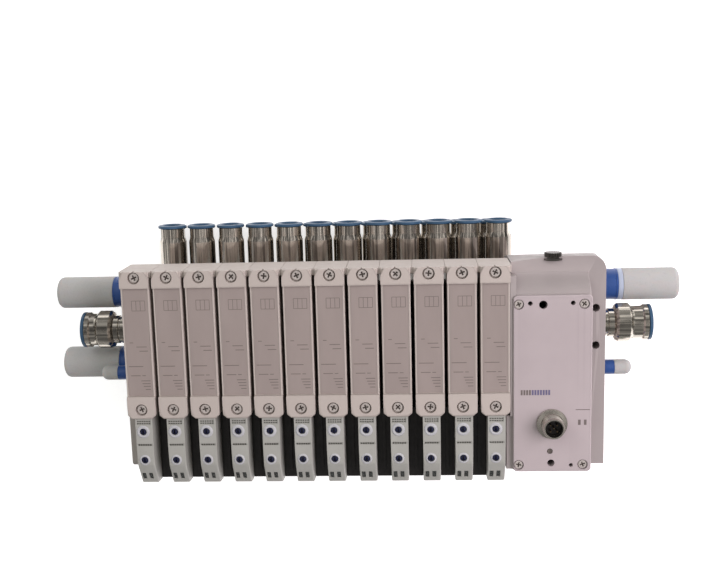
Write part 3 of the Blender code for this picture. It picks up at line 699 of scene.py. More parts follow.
def label_print_shape():
    """Plain printed marks of a label: a framed row of empty boxes and a few rules."""
    left, right, top, bottom = -2.2, 5.2, 50.2, 44.6
    box, frame_half, rule_half = 2.4, 0.15, 0.22
    bars = []
    for x in (left, left + box, left + 2 * box, right):
        bars.append(print_bar(x - frame_half, x + frame_half, bottom, top))
    for y in (top, bottom):
        bars.append(print_bar(left, right, y - frame_half, y + frame_half))
    rules = (  # Y, start and end
        (26.5, -4.6, -2.6), (24.1, -1.0, 4.8), (21.7, 0.6, 5.4),
        (12.9, -6.0, 2.2), (7.6, -5.0, 0.4), (7.6, 1.4, 3.4),
        (4.6, 0.6, 5.8), (3.0, 1.2, 5.8), (1.4, 1.8, 5.8), (-0.4, 2.8, 5.8),
    )
    for y, start, end in rules:
        bars.append(print_bar(start, end, y - rule_half, y + rule_half))
    return merge(*bars)


def on_slope(shape):
    """Lay a shape made around the origin on the middle of the pilot's sloped end."""
    turn = Matrix.Rotation(SLOPE, 4, "X")
    middle = Vector((0.0, (SLOPE_Y + PILOT_END_Y) / 2, (PILOT_Z + SLOPE_END_Z) / 2))
    bmesh.ops.transform(shape, matrix=Matrix.Translation(middle) @ turn, verts=shape.verts)
    return shape


def window_outline(x, margin):
    """Plan of a lamp window on the slope."""
    half = 1.1 - margin
    return rectangle(x - half, x + half, -4.5 + margin, 1.0 - margin, 0.3, steps=3)


def override_y(side):
    """Middle of a button along the valve."""
    low, high = span("override_01_" + side)
    return (low.y + high.y) / 2


def pilot_shape():
    """Pilot housing: long box with a sloped end, button holes, lamp windows and shallow recesses."""
    box = prism(rounded([
        (PILOT_END_Y, PILOT_FOOT_Z, 0.3), (PILOT_START_Y, PILOT_FOOT_Z, 0.0),
        (PILOT_START_Y, PILOT_Z, 0.0), (SLOPE_Y, PILOT_Z, 6.0), (PILOT_END_Y, SLOPE_END_Z, 1.2),
    ], steps=4), PILOT_LEFT, PILOT_RIGHT, "X")

    def on_face(point):
        return point.z > SLOPE_END_Z - 1.5 and point.y < PILOT_START_Y - NEAR

    round_edges(box, 0.9, lambda p: on_face(p) and p.x > PILOT_RIGHT - NEAR)
    round_edges(box, 0.7, lambda p: on_face(p) and p.x < PILOT_LEFT + NEAR)
    holes = []
    for side in ("upper", "lower"):
        floor_z = span("override_01_" + side)[0].z - 2.5
        holes.append(prism(circle(0, override_y(side), BUTTON_RADIUS + 0.2), floor_z, FACE_Z + OVER))
    for x in WINDOW_X:
        holes.append(on_slope(prism(window_outline(x, 0.0), -WINDOW_DEPTH, 3 * OVER)))
    for x_low, x_high, y_low, y_high, depth in PILOT_RECESSES:
        holes.append(block((x_low, y_low, PILOT_Z - depth), (x_high, y_high, PILOT_Z + OVER)))
    return combine(box, ("DIFFERENCE", merge(*holes)))


def override_guides_shape():
    """Raised collars round a valve's two buttons."""
    collars = []
    inner = BUTTON_RADIUS + 0.25
    foot, brow, top = PILOT_Z - 0.3, PILOT_Z + 0.1, PILOT_Z + COLLAR_HEIGHT
    for side, radius in COLLAR_RADII.items():
        corners = [
            (radius, foot, 0.0), (radius, brow, 0.0), (radius - 0.7, top, 0.3),
            (inner, top, 0.2), (inner, foot, 0.0),
        ]
        collars.append(shift(lathe(corners, steps=3, closed=True), (0, override_y(side), 0)))
    return merge(*collars)


def pilot_window_shape():
    """Two small ribbed lenses in the pilot's windows."""
    rib_place, rib_half = 0.45, 0.09
    lenses = []
    for x in WINDOW_X:
        pane = prism(window_outline(x, 0.05), -WINDOW_DEPTH, PANE_Z)
        lenses.append(on_slope(round_edges(pane, 0.15, above(PANE_Z), 2)))
        for rib in (x - rib_place, x + rib_place):
            bar = block((rib - rib_half, -3.9, PANE_Z - 0.05), (rib + rib_half, 0.5, PANE_Z + 0.2))
            lenses.append(on_slope(bar))
    return merge(*lenses)


def pilot_marks_shape():
    """Rows of small dark marks in the pilot's two shallow recesses: print, and in the rows just below the cap
    partly painted shade of the cap.
    """
    start, pitch, count = -3.3, 1.3, 6
    marks = []
    for column in range(count):
        x = start + column * pitch
        for y, height, width, depth in MARK_ROWS:
            floor_z = PILOT_Z - depth
            marks.append(block((x, y, floor_z - 0.02), (x + width, y + height, floor_z + 0.2)))
    return merge(*marks)


def pilot_link_and_shade_shape():
    """Black link between two neighbouring pilots, with a rib along it and a stepped end. Its black partly
    paints the deep shade in the gap between the pilots.
    """
    sunk = 0.25  # how far its sides reach into the pilots
    left, right = PILOT_RIGHT - sunk, PITCH + PILOT_LEFT + sunk
    middle = (left + right) / 2
    far_y = BODY_END_Y + 1.0
    outline = rectangle(left, right, PILOT_END_Y + 0.3, far_y, 0.8, steps=3)
    link = round_edges(prism(outline, PILOT_FOOT_Z, LINK_Z), 0.8, above(LINK_Z), 3)
    rib_outline = rectangle(middle - 0.8, middle + 0.8, PILOT_END_Y + 5.0, far_y, 0.4)
    rib = prism(rib_outline, LINK_Z - 1.0, LINK_Z + 1.2)
    step = block(
        (left - OVER, PILOT_END_Y - OVER, PILOT_FOOT_Z - OVER),
        (right + OVER, PILOT_END_Y + 3.0, LINK_Z - 7.0),
    )
    return combine(link, ("UNION", rib), ("DIFFERENCE", step))


def cross_slots(reach, low, high, width):
    """The two bars of a cross about the Z axis."""
    bars = []
    for turn in (0.4, 0.4 + math.pi / 2):
        bar = block((-reach, -width / 2, low), (reach, width / 2, high))
        bmesh.ops.rotate(bar, cent=ORIGIN, matrix=Matrix.Rotation(turn, 3, "Z"), verts=bar.verts)
        bars.append(bar)
    return bars


def screw_shape(radius, top, foot, recess):
    """Cylinder-head screw standing on its seat, with a rim, a dished middle and a cross recess."""
    dish = top - 0.25
    head = lathe([
        (0.0, dish, 0.0), (radius * 0.50, dish, 0.2), (radius * 0.58, top, 0.2),
        (radius, top, 0.35), (radius, foot, 0.0), (0.0, foot, 0.0),
    ], SMALL_SIDES, steps=4)
    first, second = cross_slots(radius * 0.62, top - recess, top + OVER, radius * 0.34)
    return combine(head, ("DIFFERENCE", first), ("DIFFERENCE", second))


def screw_recess_shade_shape(radius, top, recess):
    """Painted shade: a dark cross on the floor of a screw's cross recess, standing in for the shade there."""
    floor_z = top - recess
    first, second = cross_slots(radius * 0.60, floor_z + 0.01, floor_z + 0.2, radius * 0.32)
    return combine(first, ("UNION", second))


def override_shape(radius, top, bottom):
    """Push button with a domed, slotted top."""
    button = lathe([
        (0.0, top, 0.0), (radius * 0.5, top - 0.05, 1.0), (radius, top - 0.35, 0.4),
        (radius, bottom, 0.2), (0.0, bottom, 0.0),
    ], SMALL_SIDES, steps=4)
    slot = block((-0.5, -radius * 0.7, top - 1.6), (0.5, radius * 0.7, top + OVER))
    return combine(button, ("DIFFERENCE", slot))


def gasket_shape():
    """Flat seal between a valve and the manifold. It reaches under the gaps between valves, where its black
    also paints the shade at the bottom of each gap.
    """
    half = PITCH / 2 - 0.25
    clear = 0.03
    outline = rectangle(-half, half, BASE_LOW.y + 1.2, BASE_BACK_Y - 1.0, 1.0)
    return prism(outline, BASE_HIGH.z + clear, SEAT_Z - clear)


def make_valves():
    """Twelve valves with their labels, pilots, seals, screws, buttons and spools."""
    body = finished("valve_body", valve_body_shape(), "body", 0.12)
    label = finished("label", label_shape(), "label")
    marks = finished("label_print", label_print_shape(), "print")
    pilot = finished("pilot", pilot_shape(), "pilot", 0.1)
    window = finished("pilot_window", pilot_window_shape(), "window")
    gasket = finished("gasket", gasket_shape(), "gasket", 0.05)
    head = screw_shape(SCREW_RADIUS, SCREW_TOP, FACE_Z - RECESS_DEPTH + 0.02, SCREW_CROSS)
    screw = finished("valve_screw", head, "screw", 0.06)
    # the dark cross in each screw's recess is painted shade
    shade_cross = screw_recess_shade_shape(SCREW_RADIUS, SCREW_TOP, SCREW_CROSS)
    recess_shade = finished("screw_grime", shade_cross, "recess_shade")
    link = finished("pilot_link", pilot_link_and_shade_shape(), "dark", 0.1)
    pilot_marks = finished("pilot_marks", pilot_marks_shape(), "mark")
    # the collars' lighter tone is a painted highlight
    guides = finished("override_guides", override_guides_shape(), "guide")
    buttons = {}
    for side in ("upper", "lower"):
        low, high = span("override_01_" + side)
        shape = shift(override_shape(BUTTON_RADIUS, high.z, low.z), (0, override_y(side), 0))
        buttons[side] = finished("override_" + side, shape, "override", 0.06)

    for number, (tag, x) in enumerate(STATION_X.items()):
        place = (x, 0, 0)
        piece("valve_body_" + tag, body, place, "valve_body", ["valve_" + tag])
        piece("label_" + tag, label, place, "valve_body")
        piece("label_print_" + tag, marks, place)
        piece("pilot_" + tag, pilot, place, "valve_body")
        piece("pilot_window_" + tag, window, place)
        piece("pilot_marks_" + tag, pilot_marks, place)
        piece("override_guides_" + tag, guides, place, "valve_body")
        piece("gasket_" + tag, gasket, place)
        if tag != LAST:
            # black links between pilots, partly painted shade in the gaps
            piece("pilot_link_" + tag, link, place)
        for side, y in SCREW_Y.items():
            for part, mesh in (("valve_screw", screw), ("screw_grime", recess_shade)):
                obj = piece(f"{part}_{side}_{tag}", mesh, (x, y, 0))
                obj.rotation_euler.z = (number * 7 + len(side)) % 5 * 0.35
        for side, mesh in buttons.items():
            node = f"override_{tag}_{side}"
            piece("button_" + node, mesh, place, "override", [node], body=node)
        spool_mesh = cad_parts["spool_" + tag].data
        spool_mesh.materials.clear()
        spool_mesh.materials.append(MATERIALS["spool"])


# Manifold and its work port fittings

def module_shape():
    """One manifold sub-base: a block with softened edges and two shallow panels on its front."""
    half = PITCH / 2 - 0.06
    front = BASE_LOW.y
    shape = prism(rectangle(front, BASE_BACK_Y, BASE_LOW.z, BASE_HIGH.z, 1.0, steps=3), -half, half, "X")
    round_edges(shape, 0.35, lambda p: abs(p.x) > half - NEAR, 2)
    panels = []
    for border, depth, bottom, top in ((2.0, 0.8, 46.0, 62.0), (3.5, 0.5, 8.0, 38.0)):
        panels.append(block((-half + border, front - OVER, bottom), (half - border, front + depth, top)))
    return combine(shape, ("DIFFERENCE", merge(*panels)))


def work_fitting_shape(length):
    """Nickel body of a push-in fitting, along Z from its seat, with its stepped socket."""
    wide, narrow, mouth, bore = 7.8, 7.0, 6.35, 5.15
    rim, floor_z = length - 1.9, length - 17.0
    return lathe([
        (0.0, 0.0, 0.0), (wide - 0.2, 0.0, 0.2), (wide, 0.6, 0.2), (wide, length - 10.1, 1.2),
        (narrow, length - 7.4, 1.0), (narrow, rim, 0.3), (mouth, rim, 0.2),
        (mouth, length - 7.0, 0.0), (bore, length - 8.0, 0.3), (bore, floor_z, 0.0),
        (0.0, floor_z, 0.0),
    ])


def release_ring_shape(outer, inner, collet, bottom, top):
    """Release ring: a flange outside and a collet that runs down into the fitting."""
    foot = bottom - 4.0
    return lathe([
        (outer, bottom, 0.3), (outer, top - 0.3, 0.5), (outer - 0.9, top, 0.4),
        (inner + 0.5, top, 0.4), (inner, top - 0.8, 0.3), (inner, foot, 0.1), (collet, foot, 0.1),
        (collet, bottom, 0.1),
    ], steps=4, closed=True)


def make_manifold():
    """Twelve sub-bases, and two rows of twelve fittings with their release rings."""
    module = finished("manifold_module", module_shape(), "base", 0.15)
    for tag, x in STATION_X.items():
        piece("manifold_module_" + tag, module, (x, 0, 0), "manifold", ["manifold_base"])
    for row, (offset, height, length) in FITTING_ROWS.items():
        shape = aim(work_fitting_shape(length), (0, 1, 0), ORIGIN)
        fitting = finished("work_fitting_" + row, shape, "nickel")
        shape = aim(release_ring_shape(8.3, 5.1, 6.2, length - 1.7, length), (0, 1, 0), ORIGIN)
        ring = finished("release_ring_" + row, shape, "ring")
        for tag, x in STATION_X.items():
            place = (x + offset, BASE_BACK_Y + 0.02, height)
            piece(f"work_fitting_{row}_{tag}", fitting, place, "fitting")
            piece(f"release_ring_{row}_{tag}", ring, place)


# Ends

def port_holes(names, x_low, x_high):
    """Cutters of the threaded ports on an end face."""
    holes = []
    for name in names:
        y, z, radius = PORTS[name]
        holes.append(prism(circle(y, z, radius, SMALL_SIDES), x_low, x_high, "X"))
    return merge(*holes)


def make_end_plate():
    """Left end plate, with its ports."""
    low, high = PLATE_LOW, PLATE_HIGH
    shape = prism(rectangle(low.y, high.y, low.z, high.z, 2.5), low.x, high.x, "X")
    round_edges(shape, 1.0, lambda p: p.x < low.x + NEAR)
    shape = combine(shape, ("DIFFERENCE", port_holes(PORTS, low.x - OVER, high.x + OVER)))
    single("end_plate_left", shape, "plate", 0.2, slot="end_plate", replaces=["left_end_plate"])


def housing_plan():
    """Plan of the block: a slightly bowed back with a large radius at its far right corner."""
    low, high = HOUSING_LOW, HOUSING_HIGH
    bowed_y = high.y + 0.6
    return rounded([
        (BLOCK_X, low.y, 0.0), (high.x, low.y, 0.0), (high.x, bowed_y, 8.0),
        (BLOCK_X + 22.0, bowed_y, 14.0), (BLOCK_X, high.y - 2.2, 0.0),
    ], steps=8)


def housing_block():
    """Main block of the housing, from its plan and its side view."""
    low, high = HOUSING_LOW, HOUSING_HIGH
    front, back, top = low.y - OVER, high.y + OVER, SHELF_Z + OVER
    deck_y, deck_z = DECK
    side_view = rounded([
        (front, low.z, 0.0), (FOOT_BACK_Y, low.z, 1.0), (FOOT_BACK_Y, deck_z - 6.0, 1.0),
        (deck_y, deck_z, 1.5), (back, SHELF_Z - 7.0, 0.0), (back, top, 0.0), (front, top, 0.0),
    ])
    main = prism(housing_plan(), low.z, SHELF_Z)
    round_edges(main, 2.2, lambda p: p.z > SHELF_Z - NEAR and p.x > BLOCK_X + NEAR, 5)
    return combine(main, ("INTERSECT", prism(side_view, BLOCK_X - OVER, high.x + OVER, "X")))


def pedestal_shape():
    """Raised part under the cover, with a concave blend down to the shelf on its far side."""
    run, rise = SCOOP
    foot, front = SHELF_Z - 6.0, COVER_LOW.y + 0.4
    outline = [(front, foot), (COVER_HIGH.y + run, foot)]
    for step in range(SCOOP_STEPS + 1):
        share = 1 - step / SCOOP_STEPS
        drop = rise * (0.5 - 0.5 * math.cos(math.pi * share))
        outline.append((COVER_HIGH.y + run * share, PEDESTAL_Z - drop))
    outline.append((front, PEDESTAL_Z))
    pedestal = prism(outline, BLOCK_X + 0.2, PEDESTAL_X, "X")
    return round_edges(pedestal, 0.8, lambda p: p.x > PEDESTAL_X - NEAR, 3)


def ledge_shape():
    """Strip of the housing beside the last pilot."""
    ledge = block((HOUSING_LOW.x, COVER_LOW.y + 0.5, LEDGE_LOW), (BLOCK_X + 2.0, LEDGE_Y, LEDGE_HIGH))
    return round_edges(ledge, 0.5, lambda p: p.z > LEDGE_HIGH - NEAR and p.x < BLOCK_X, 3)


def housing_shape():
    """Connection housing: main block, pedestal, ledge, filler strip, pocket, holes and ports."""
    strip = block(
        (STATION_X[LAST] + HALF + 0.15, LEDGE_Y + 0.1, LEDGE_LOW),
        (BLOCK_X + 2.0, COVER_HIGH.y + SCOOP[0] - 0.5, LEDGE_HIGH + 2.0),
    )
    pocket = block(
        (BLOCK_X + WALL, COVER_LOW.y + WALL, 60.0),
        (PEDESTAL_X - WALL, COVER_HIGH.y - WALL, COVER_HIGH.z + OVER),
    )
    hole_foot = SHELF_Z - 10.0
    holes = [prism(circle(x, y, 2.2, SMALL_SIDES), hole_foot, SHELF_Z + OVER) for x, y in SHELF_HOLES]
    sockets = []
    for x, y, radius in COVER_HOLES:
        sockets.append(prism(circle(x, y, radius, HOLE_SIDES), hole_foot, COVER_HIGH.z))
    right_ports = [name for name in PORTS if name != "silencer_lower"]
    return combine(
        housing_block(),
        ("UNION", pedestal_shape()),
        ("UNION", ledge_shape()),
        ("UNION", strip),
        ("DIFFERENCE", pocket),
        ("DIFFERENCE", merge(*holes)),
        ("DIFFERENCE", merge(*sockets)),
        ("DIFFERENCE", port_holes(right_ports, HOUSING_HIGH.x - 6.0, HOUSING_HIGH.x + OVER)),
    )


def cover_shape():
    """Cover plate with softened edges, screw recesses and openings."""
    low, high = COVER_LOW, COVER_HIGH
    foot, top = low.z - OVER, high.z + OVER
    outline = rectangle(low.x, high.x, low.y, high.y, 2.2)
    plate = round_edges(prism(outline, low.z, high.z), 0.7, above(high.z))
    cutters = []
    for x, y, radius in (*COVER_HOLES, (*LAMP, 1.6)):
        cutters.append(prism(circle(x, y, radius, SMALL_SIDES), foot, top))
    cutters.append(prism(circle(CONNECTOR_X, CONNECTOR_Y, 6.5), foot, top))
    for x, y in COVER_SCREWS:
        cutters.append(prism(circle(x, y, COVER_SCREW_RADIUS + 0.5, SMALL_SIDES), high.z - 1.4, top))
    return combine(plate, ("DIFFERENCE", merge(*cutters)))


def connector_shell_shape():
    """Threaded shell of the M12 connector with its flange."""
    shank, flange, root, crest, bore = 5.4, 8.5, 5.55, 6.0, 4.75
    start, pitch, turns, top, floor_z = 2.6, 1.0, 7, 10.5, 2.2
    corners = [
        (0.0, -6.0, 0.0), (shank, -6.0, 0.2), (shank, 0.1, 0.0),
        (flange, 0.1, 0.1), (flange, 1.2, 0.4), (6.1, 1.5, 0.2),
    ]
    for turn in range(turns):
        height = start + turn * pitch
        corners.append((root, height, 0.1))
        corners.append((crest, height + pitch / 2, 0.1))
    corners += [
        (5.7, top - 0.5, 0.1), (5.6, top, 0.2), (bore, top, 0.2), (bore, floor_z, 0.0), (0.0, floor_z, 0.0),
    ]
    return lathe(corners, steps=3)


def connector_insert_shape():
    """Dark insert inside the shell, with a key rib."""
    insert = lathe([(0.0, 2.3, 0.0), (4.7, 2.3, 0.1), (4.7, 4.4, 0.2), (0.0, 4.4, 0.0)], SMALL_SIDES)
    return merge(insert, block((-0.6, 3.6, 2.4), (0.6, 4.72, 9.0)))


def connector_pins_shape():
    """A contact in the middle and four round it."""
    circle_radius, pin_radius, foot, tip = 2.5, 0.5, 4.3, 9.2
    places = [(0.0, 0.0)]
    for quarter in range(4):
        angle = math.pi / 4 + quarter * math.pi / 2
        places.append((circle_radius * math.cos(angle), circle_radius * math.sin(angle)))
    pins = []
    for place in places:
        corners = [(0.0, foot, 0.0), (pin_radius, foot, 0.0), (pin_radius, tip, 0.3), (0.0, tip, 0.0)]
        pins.append(shift(lathe(corners, sides=12), (*place, 0)))
    return merge(*pins)


def earthing_screw_shape():
    """Knurled screw with a washer under its head and a slot across it."""
    teeth, valley, crest = 22, 4.1, 4.7
    outline = []
    for tooth in range(teeth):
        for share, radius in ((0.0, valley), (0.25, crest), (0.5, crest), (0.75, valley)):
            angle = 2 * math.pi * (tooth + share) / teeth
            outline.append((radius * math.cos(angle), radius * math.sin(angle)))
    washer = lathe([
        (0.0, 0.0, 0.0), (5.2, 0.0, 0.1), (5.2, 1.0, 0.2), (3.6, 1.1, 0.0), (3.6, 2.2, 0.0), (0.0, 2.2, 0.0),
    ])
    slot = block((-6.0, -0.6, 3.2), (6.0, 0.6, 6.0))
    return combine(prism(outline, 1.9, 4.2), ("UNION", washer), ("DIFFERENCE", slot))


def make_cover_print():
    """A row of plain bars, two small ticks and a rule on the cover."""
    bottom, top = (COVER_HIGH.z + height for height in INK)
    start, pitch, width, count, dark_count = 112.6, 1.5, 1.05, 11, 4
    bars = []
    for index in range(count):
        x = start + index * pitch
        bars.append(block((x, -5.6, bottom), (x + width, -2.7, top)))
    single("cover_bars_left", merge(*bars[:dark_count]), "tick")
    single("cover_bars_right", merge(*bars[dark_count:]), "stripe")
    ticks = merge(
        block((144.0, -22.8, bottom), (145.4, -19.8, top)),
        block((147.2, -22.8, bottom), (148.6, -19.8, top)),
        block((142.6, -14.3, bottom), (150.4, -13.9, top)),
    )
    single("cover_ticks", ticks, "tick")


def make_connection_block():
    """Housing, cover, cover screws, lamp, print, earthing screw and M12 connector."""
    single("housing_shell", housing_shape(), "housing", 0.25,
           slot="housing", replaces=["connection_housing"])
    single("cover_plate", cover_shape(), "cover", 0.12,
           slot="cover", replaces=["connection_cover"])
    top = COVER_HIGH.z
    radius, screw_top, cross = COVER_SCREW_RADIUS, COVER_SCREW_TOP, 0.7
    screw = finished("cover_screw", screw_shape(radius, screw_top, -1.38, cross), "screw", 0.05)
    # the dark cross in each cover screw's recess is painted shade
    recess_shade = finished("cover_screw_grime", screw_recess_shade_shape(radius, screw_top, cross), "recess_shade")
    for number, (x, y) in enumerate(COVER_SCREWS):
        for part, mesh in (("cover_screw", screw), ("cover_screw_grime", recess_shade)):
            obj = piece(f"{part}_{number + 1}", mesh, (x, y, top))
            obj.rotation_euler.z = number * 0.5
    lamp = lathe([(0.0, -1.6, 0.0), (1.5, -1.6, 0.1), (1.5, -0.3, 0.4), (0.0, 0.1, 0.0)], SMALL_SIDES)
    single("status_lamp", lamp, "lamp", place=(*LAMP, top))
    make_cover_print()
    place = (CONNECTOR_X, CONNECTOR_Y, top)
    single("connector_shell", connector_shell_shape(), "connector",
           place=place, slot="connector", replaces=["m12_connector"])
    single("connector_insert", connector_insert_shape(), "dark", place=place)
    single("connector_pins", connector_pins_shape(), "contact", place=place)
    screw = aim(earthing_screw_shape(), (0, 1, 0), (EARTH[0], HOUSING_HIGH.y - 1.6, EARTH[1]))
    single("earthing_screw", screw, "dark_steel", 0.06)


def silencer_cap_shape(radius, base, length):
    """Porous cap with a rounded end."""
    return lathe([(0.0, length, 0.0), (radius, length, 3.0), (radius, base, 0.3), (0.0, base, 0.0)])


def silencer_base_shape(radius, length):
    """Screw-in base: a rim, a smooth grip and the spigot."""
    rim, grip, spigot = radius - 0.05, radius - 0.3, 6.0
    return lathe([
        (0.0, length, 0.0), (rim, length, 0.3), (rim, length - 1.0, 0.1), (grip, length - 1.3, 0.1),
        (grip, 0.4, 0.4), (spigot, 0.4, 0.0), (spigot, -SPIGOT, 0.2), (0.0, -SPIGOT, 0.0),
    ])


def pilot_silencer_shapes(radius, length):
    """Small silencer: blue base and domed porous cap."""
    seam, spigot = 6.0, 2.4
    base = lathe([
        (0.0, seam, 0.0), (radius, seam, 0.2), (radius, 0.4, 0.3),
        (spigot, 0.4, 0.0), (spigot, -SPIGOT, 0.2), (0.0, -SPIGOT, 0.0),
    ], SMALL_SIDES)
    foot, width = seam + 0.05, radius - 0.02
    cap = lathe([
        (0.0, length, 0.0), (width, length, radius - 0.4), (width, foot, 0.1), (0.0, foot, 0.0),
    ], SMALL_SIDES, steps=8)
    return base, cap


def supply_body_shape(length, collar):
    """Large push-in fitting: neck, round collar from a given height, waist, and mouth with its socket."""
    neck, ring, wide, waist, mouth, bore = 8.2, 8.3, 11.2, 9.5, 7.4, 6.2
    collar_end = collar + 10.2
    rim, floor_z = length - 2.2, length - 20.0
    return lathe([
        (0.0, -SPIGOT, 0.0), (6.5, -SPIGOT, 0.2), (6.5, 0.3, 0.0), (neck, 0.3, 0.3),
        (neck, collar * 0.45, 0.2), (neck - 0.6, collar * 0.45 + 0.3, 0.2),
        (neck - 0.6, collar * 0.6, 0.2), (ring, collar * 0.6 + 0.4, 0.2), (ring, collar, 0.2),
        (wide - 0.9, collar + 0.9, 0.3), (wide, collar + 2.2, 0.5), (wide, collar_end - 1.6, 0.5),
        (waist + 0.3, collar_end, 0.3), (waist, collar_end + 1.0, 0.2), (waist, length - 5.6, 0.4),
        (10.35, length - 4.6, 0.3), (10.35, rim, 0.4), (mouth, rim, 0.2),
        (mouth, length - 7.5, 0.0), (bore, length - 8.5, 0.2), (bore, floor_z, 0.0),
        (0.0, floor_z, 0.0),
    ])


class EndFitting:
    """Where a fitting stands on an end face: its axis, base, radius and length."""

    def __init__(self, node, port, stand_off):
        to_left = "left" in node
        low, high = span(node)
        y, z, _ = PORTS[port]
        self.axis = (-1, 0, 0) if to_left else (1, 0, 0)
        face_x = PLATE_LOW.x - stand_off if to_left else HOUSING_HIGH.x + stand_off
        self.base = Vector((face_x, y, z))
        self.radius = (high.z - low.z) / 2
        self.length = face_x - low.x if to_left else high.x - face_x

    def show(self, name, shape, material, bevel=0.0, **where):
        """Show a shape made along Z as a piece that stands on the end face."""
        single(name, aim(shape, self.axis, self.base), material, bevel, **where)


SILENCERS = (
    # node, port, stand-off, length of the blue base, whether it has a collar
    ("silencer_left_upper", "silencer_upper", 0.0, 9.1, False),
    ("silencer_left_lower", "silencer_lower", 0.0, 7.9, False),
    ("silencer_right", "silencer_upper", 2.0, 10.8, True),
)
COLLAR_LENGTH = 2.9
PILOT_SILENCERS = (("pilot_silencer_left", 0.0), ("pilot_silencer_right", 3.2))  # node and stand-off
SUPPLIES = (("supply_fitting_left", 0.0, 7.8), ("supply_fitting_right", 0.6, 8.7))  # and start of the collar


def make_end_fittings():
    """Supply fittings and silencers on both ends."""
    seam = 0.05
    for node, port, stand_off, base_length, has_collar in SILENCERS:
        end = EndFitting(node, port, stand_off)
        end.show(node + "_base", silencer_base_shape(end.radius, base_length), "blue")
        start = base_length + seam
        if has_collar:
            collar = prism(circle(0, 0, end.radius - 0.1), start, start + COLLAR_LENGTH - seam)
            end.show(node + "_collar", collar, "pale_blue", 0.3)
            start += COLLAR_LENGTH
        cap = silencer_cap_shape(end.radius, start, end.length)
        end.show(node + "_cap", cap, "porous", slot="silencer", replaces=[node])
    for node, stand_off in PILOT_SILENCERS:
        end = EndFitting(node, "pilot_silencer", stand_off)
        plug, cap = pilot_silencer_shapes(end.radius, end.length)
        end.show(node + "_base", plug, "blue")
        end.show(node + "_cap", cap, "porous", slot="silencer", replaces=[node])
    for node, stand_off, collar in SUPPLIES:
        end = EndFitting(node, "supply", stand_off)
        body = supply_body_shape(end.length, collar)
        end.show(node + "_body", body, "nickel_end", 0.1, slot="fitting", replaces=[node])
        ring = release_ring_shape(10.4, 6.1, 7.3, end.length - 2.0, end.length)
        end.show(node + "_ring", ring, "ring")


# Stage: places run from front (0) to back (1), or from left (0) to right (1), each with a brightness
WORLD_BANDS = (
    (0.0, 0.30), (0.38, 0.20), (0.45, 0.12), (0.70, 0.10), (0.80, 0.9), (0.86, 0.9), (0.92, 0.2), (1.0, 0.4),
)
WORLD_STREAKS = (
    (0.05, 0.5), (0.17, 0.9), (0.29, 0.4), (0.45, 1.1), (0.56, 0.5), (0.66, 1.4), (0.77, 0.7), (0.88, 1.1),
)
STREAK_HALF = 0.036
BETWEEN_STREAKS = 0.02
STREAK_REACH = ((0.30, 0.0), (0.38, 1.0), (0.68, 1.0), (0.76, 0.0))  # share of the streaks, front to back
CAMERA_PLACE = (0.05612, 0.15874, 0.66664)  # in metres
CAMERA_ANGLES = (-10.2244, 2.9701, -1.4777)  # degrees about X, Y and Z from looking straight down


def make_floor():
    """Plain pale floor, lit a little from within like a light table, just under the mounting face."""
    surface = Surface("floor_paper", Roughness=0.9, Specular_IOR_Level=0.1, Emission_Strength=0.6)
    surface.shader.inputs["Emission Color"].default_value = (1.0, 1.0, 1.0, 1.0)
    tone = surface.noise(300.0, detail=2.0)
    surface.link(surface.ramp(tone, (0.3, (0.86, 0.86, 0.86)), (0.7, (0.88, 0.88, 0.88))), "Base Color")
    mesh = bpy.data.meshes.new("floor")
    shape = bmesh.new()
    bmesh.ops.create_grid(shape, x_segments=1, y_segments=1, size=4.0)
    shape.to_mesh(mesh)
    shape.free()
    mesh.materials.append(surface.material)
    floor = linked("floor", mesh)
    floor.location.z = cad_bounds[0].z - 0.0004


def add_softbox(name, location, target, size, power, color):
    """Rectangular area light aimed at a point, with the second side of its size along Y where it can be."""
    light = bpy.data.lights.new(name, "AREA")
    light.shape = "RECTANGLE"
    light.size, light.size_y = size
    light.energy = power
    light.color = color
    back = (Vector(location) - Vector(target)).normalized()
    side = Vector((0, 1, 0)).cross(back).normalized()
    obj = linked(name, light)
    turn = Matrix((side, back.cross(side), back)).transposed()
    obj.matrix_world = Matrix.Translation(Vector(location)) @ turn.to_4x4()
    obj.visible_camera = False
    obj.visible_glossy = False


def band_ramp(tree, value, bands):
    """Warm grey levels along a value, as (position, level) bands."""
    warm = (1.0, 0.985, 0.97)
    stops = [(place, tuple(level * share for share in warm)) for place, level in bands]
    return color_ramp(tree, value, stops)


def mixed(tree, operation, first, second):
    """Two colours multiplied or added."""
    node = tree.nodes.new("ShaderNodeMix")
    node.data_type = "RGBA"
    node.blend_type = operation
    node.inputs["Factor"].default_value = 1.0
    tree.links.new(first, node.inputs["A"])
    tree.links.new(second, node.inputs["B"])
    return node.outputs["Result"]


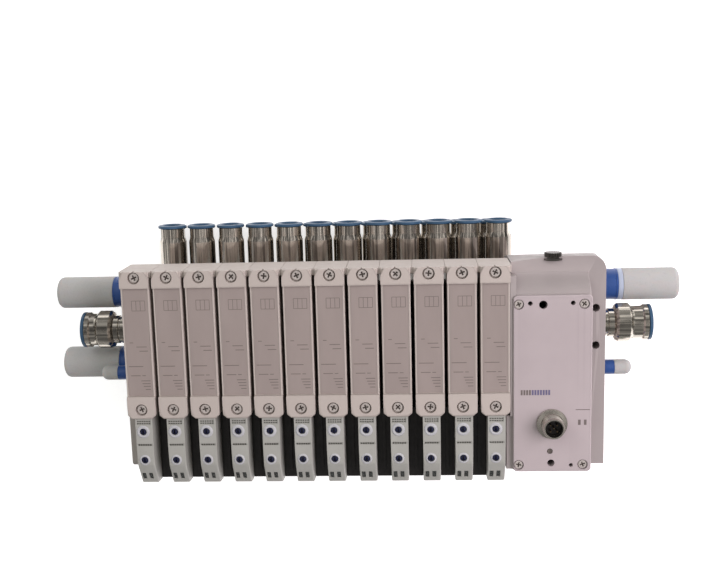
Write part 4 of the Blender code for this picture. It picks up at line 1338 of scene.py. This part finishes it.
def make_world():
    """Studio surround for plated parts to mirror: bands from front to back, and streaks side to side."""
    world = bpy.data.worlds.new("studio")
    world.use_nodes = True
    tree = world.node_tree
    coordinates = tree.nodes.new("ShaderNodeTexCoord")
    centred = tree.nodes.new("ShaderNodeMapping")
    parts = tree.nodes.new("ShaderNodeSeparateXYZ")
    centred.inputs["Location"].default_value = (0.5, 0.5, 0.5)
    centred.inputs["Scale"].default_value = (0.5, 0.5, 0.5)
    tree.links.new(coordinates.outputs["Generated"], centred.inputs["Vector"])
    tree.links.new(centred.outputs[0], parts.inputs[0])
    streaks = [(0.0, 0.0)]
    for middle, level in WORLD_STREAKS:
        streaks.append((middle - STREAK_HALF, BETWEEN_STREAKS))
        streaks.append((middle, level))
        streaks.append((middle + STREAK_HALF, BETWEEN_STREAKS))
    across = band_ramp(tree, parts.outputs["X"], streaks)
    along = band_ramp(tree, parts.outputs["Y"], WORLD_BANDS)
    shown = band_ramp(tree, parts.outputs["Y"], STREAK_REACH)
    color = mixed(tree, "ADD", along, mixed(tree, "MULTIPLY", across, shown))
    tree.links.new(color, tree.nodes["Background"].inputs["Color"])
    bpy.context.scene.world = world


def make_lights():
    """Large softboxes from the far left and from the right, which plated parts don't mirror."""
    middle = (0.0, 0.03, 0.08)
    add_softbox("back", (-0.45, 0.5, 0.95), middle, (0.9, 0.6), 3.0, (0.97, 1.0, 0.94))
    add_softbox("key", (0.65, 0.14, 0.75), middle, (0.6, 0.7), 7.7, (1.0, 0.93, 0.97))


def make_camera():
    """Camera above the work port side, looking down on the valves' faces."""
    camera = bpy.data.cameras.new("camera")
    camera.lens = 53.45
    camera.sensor_width = 36.0
    obj = linked("camera", camera)
    obj.location = CAMERA_PLACE
    obj.rotation_euler = Euler([math.radians(angle) for angle in CAMERA_ANGLES])
    bpy.context.scene.camera = obj


def main():
    """Build every piece, the stage, the lights and the camera."""
    make_valves()
    make_manifold()
    make_end_plate()
    make_connection_block()
    make_end_fittings()
    make_floor()
    make_world()
    make_lights()
    make_camera()
    bpy.context.scene.view_settings.view_transform = "Standard"


main()
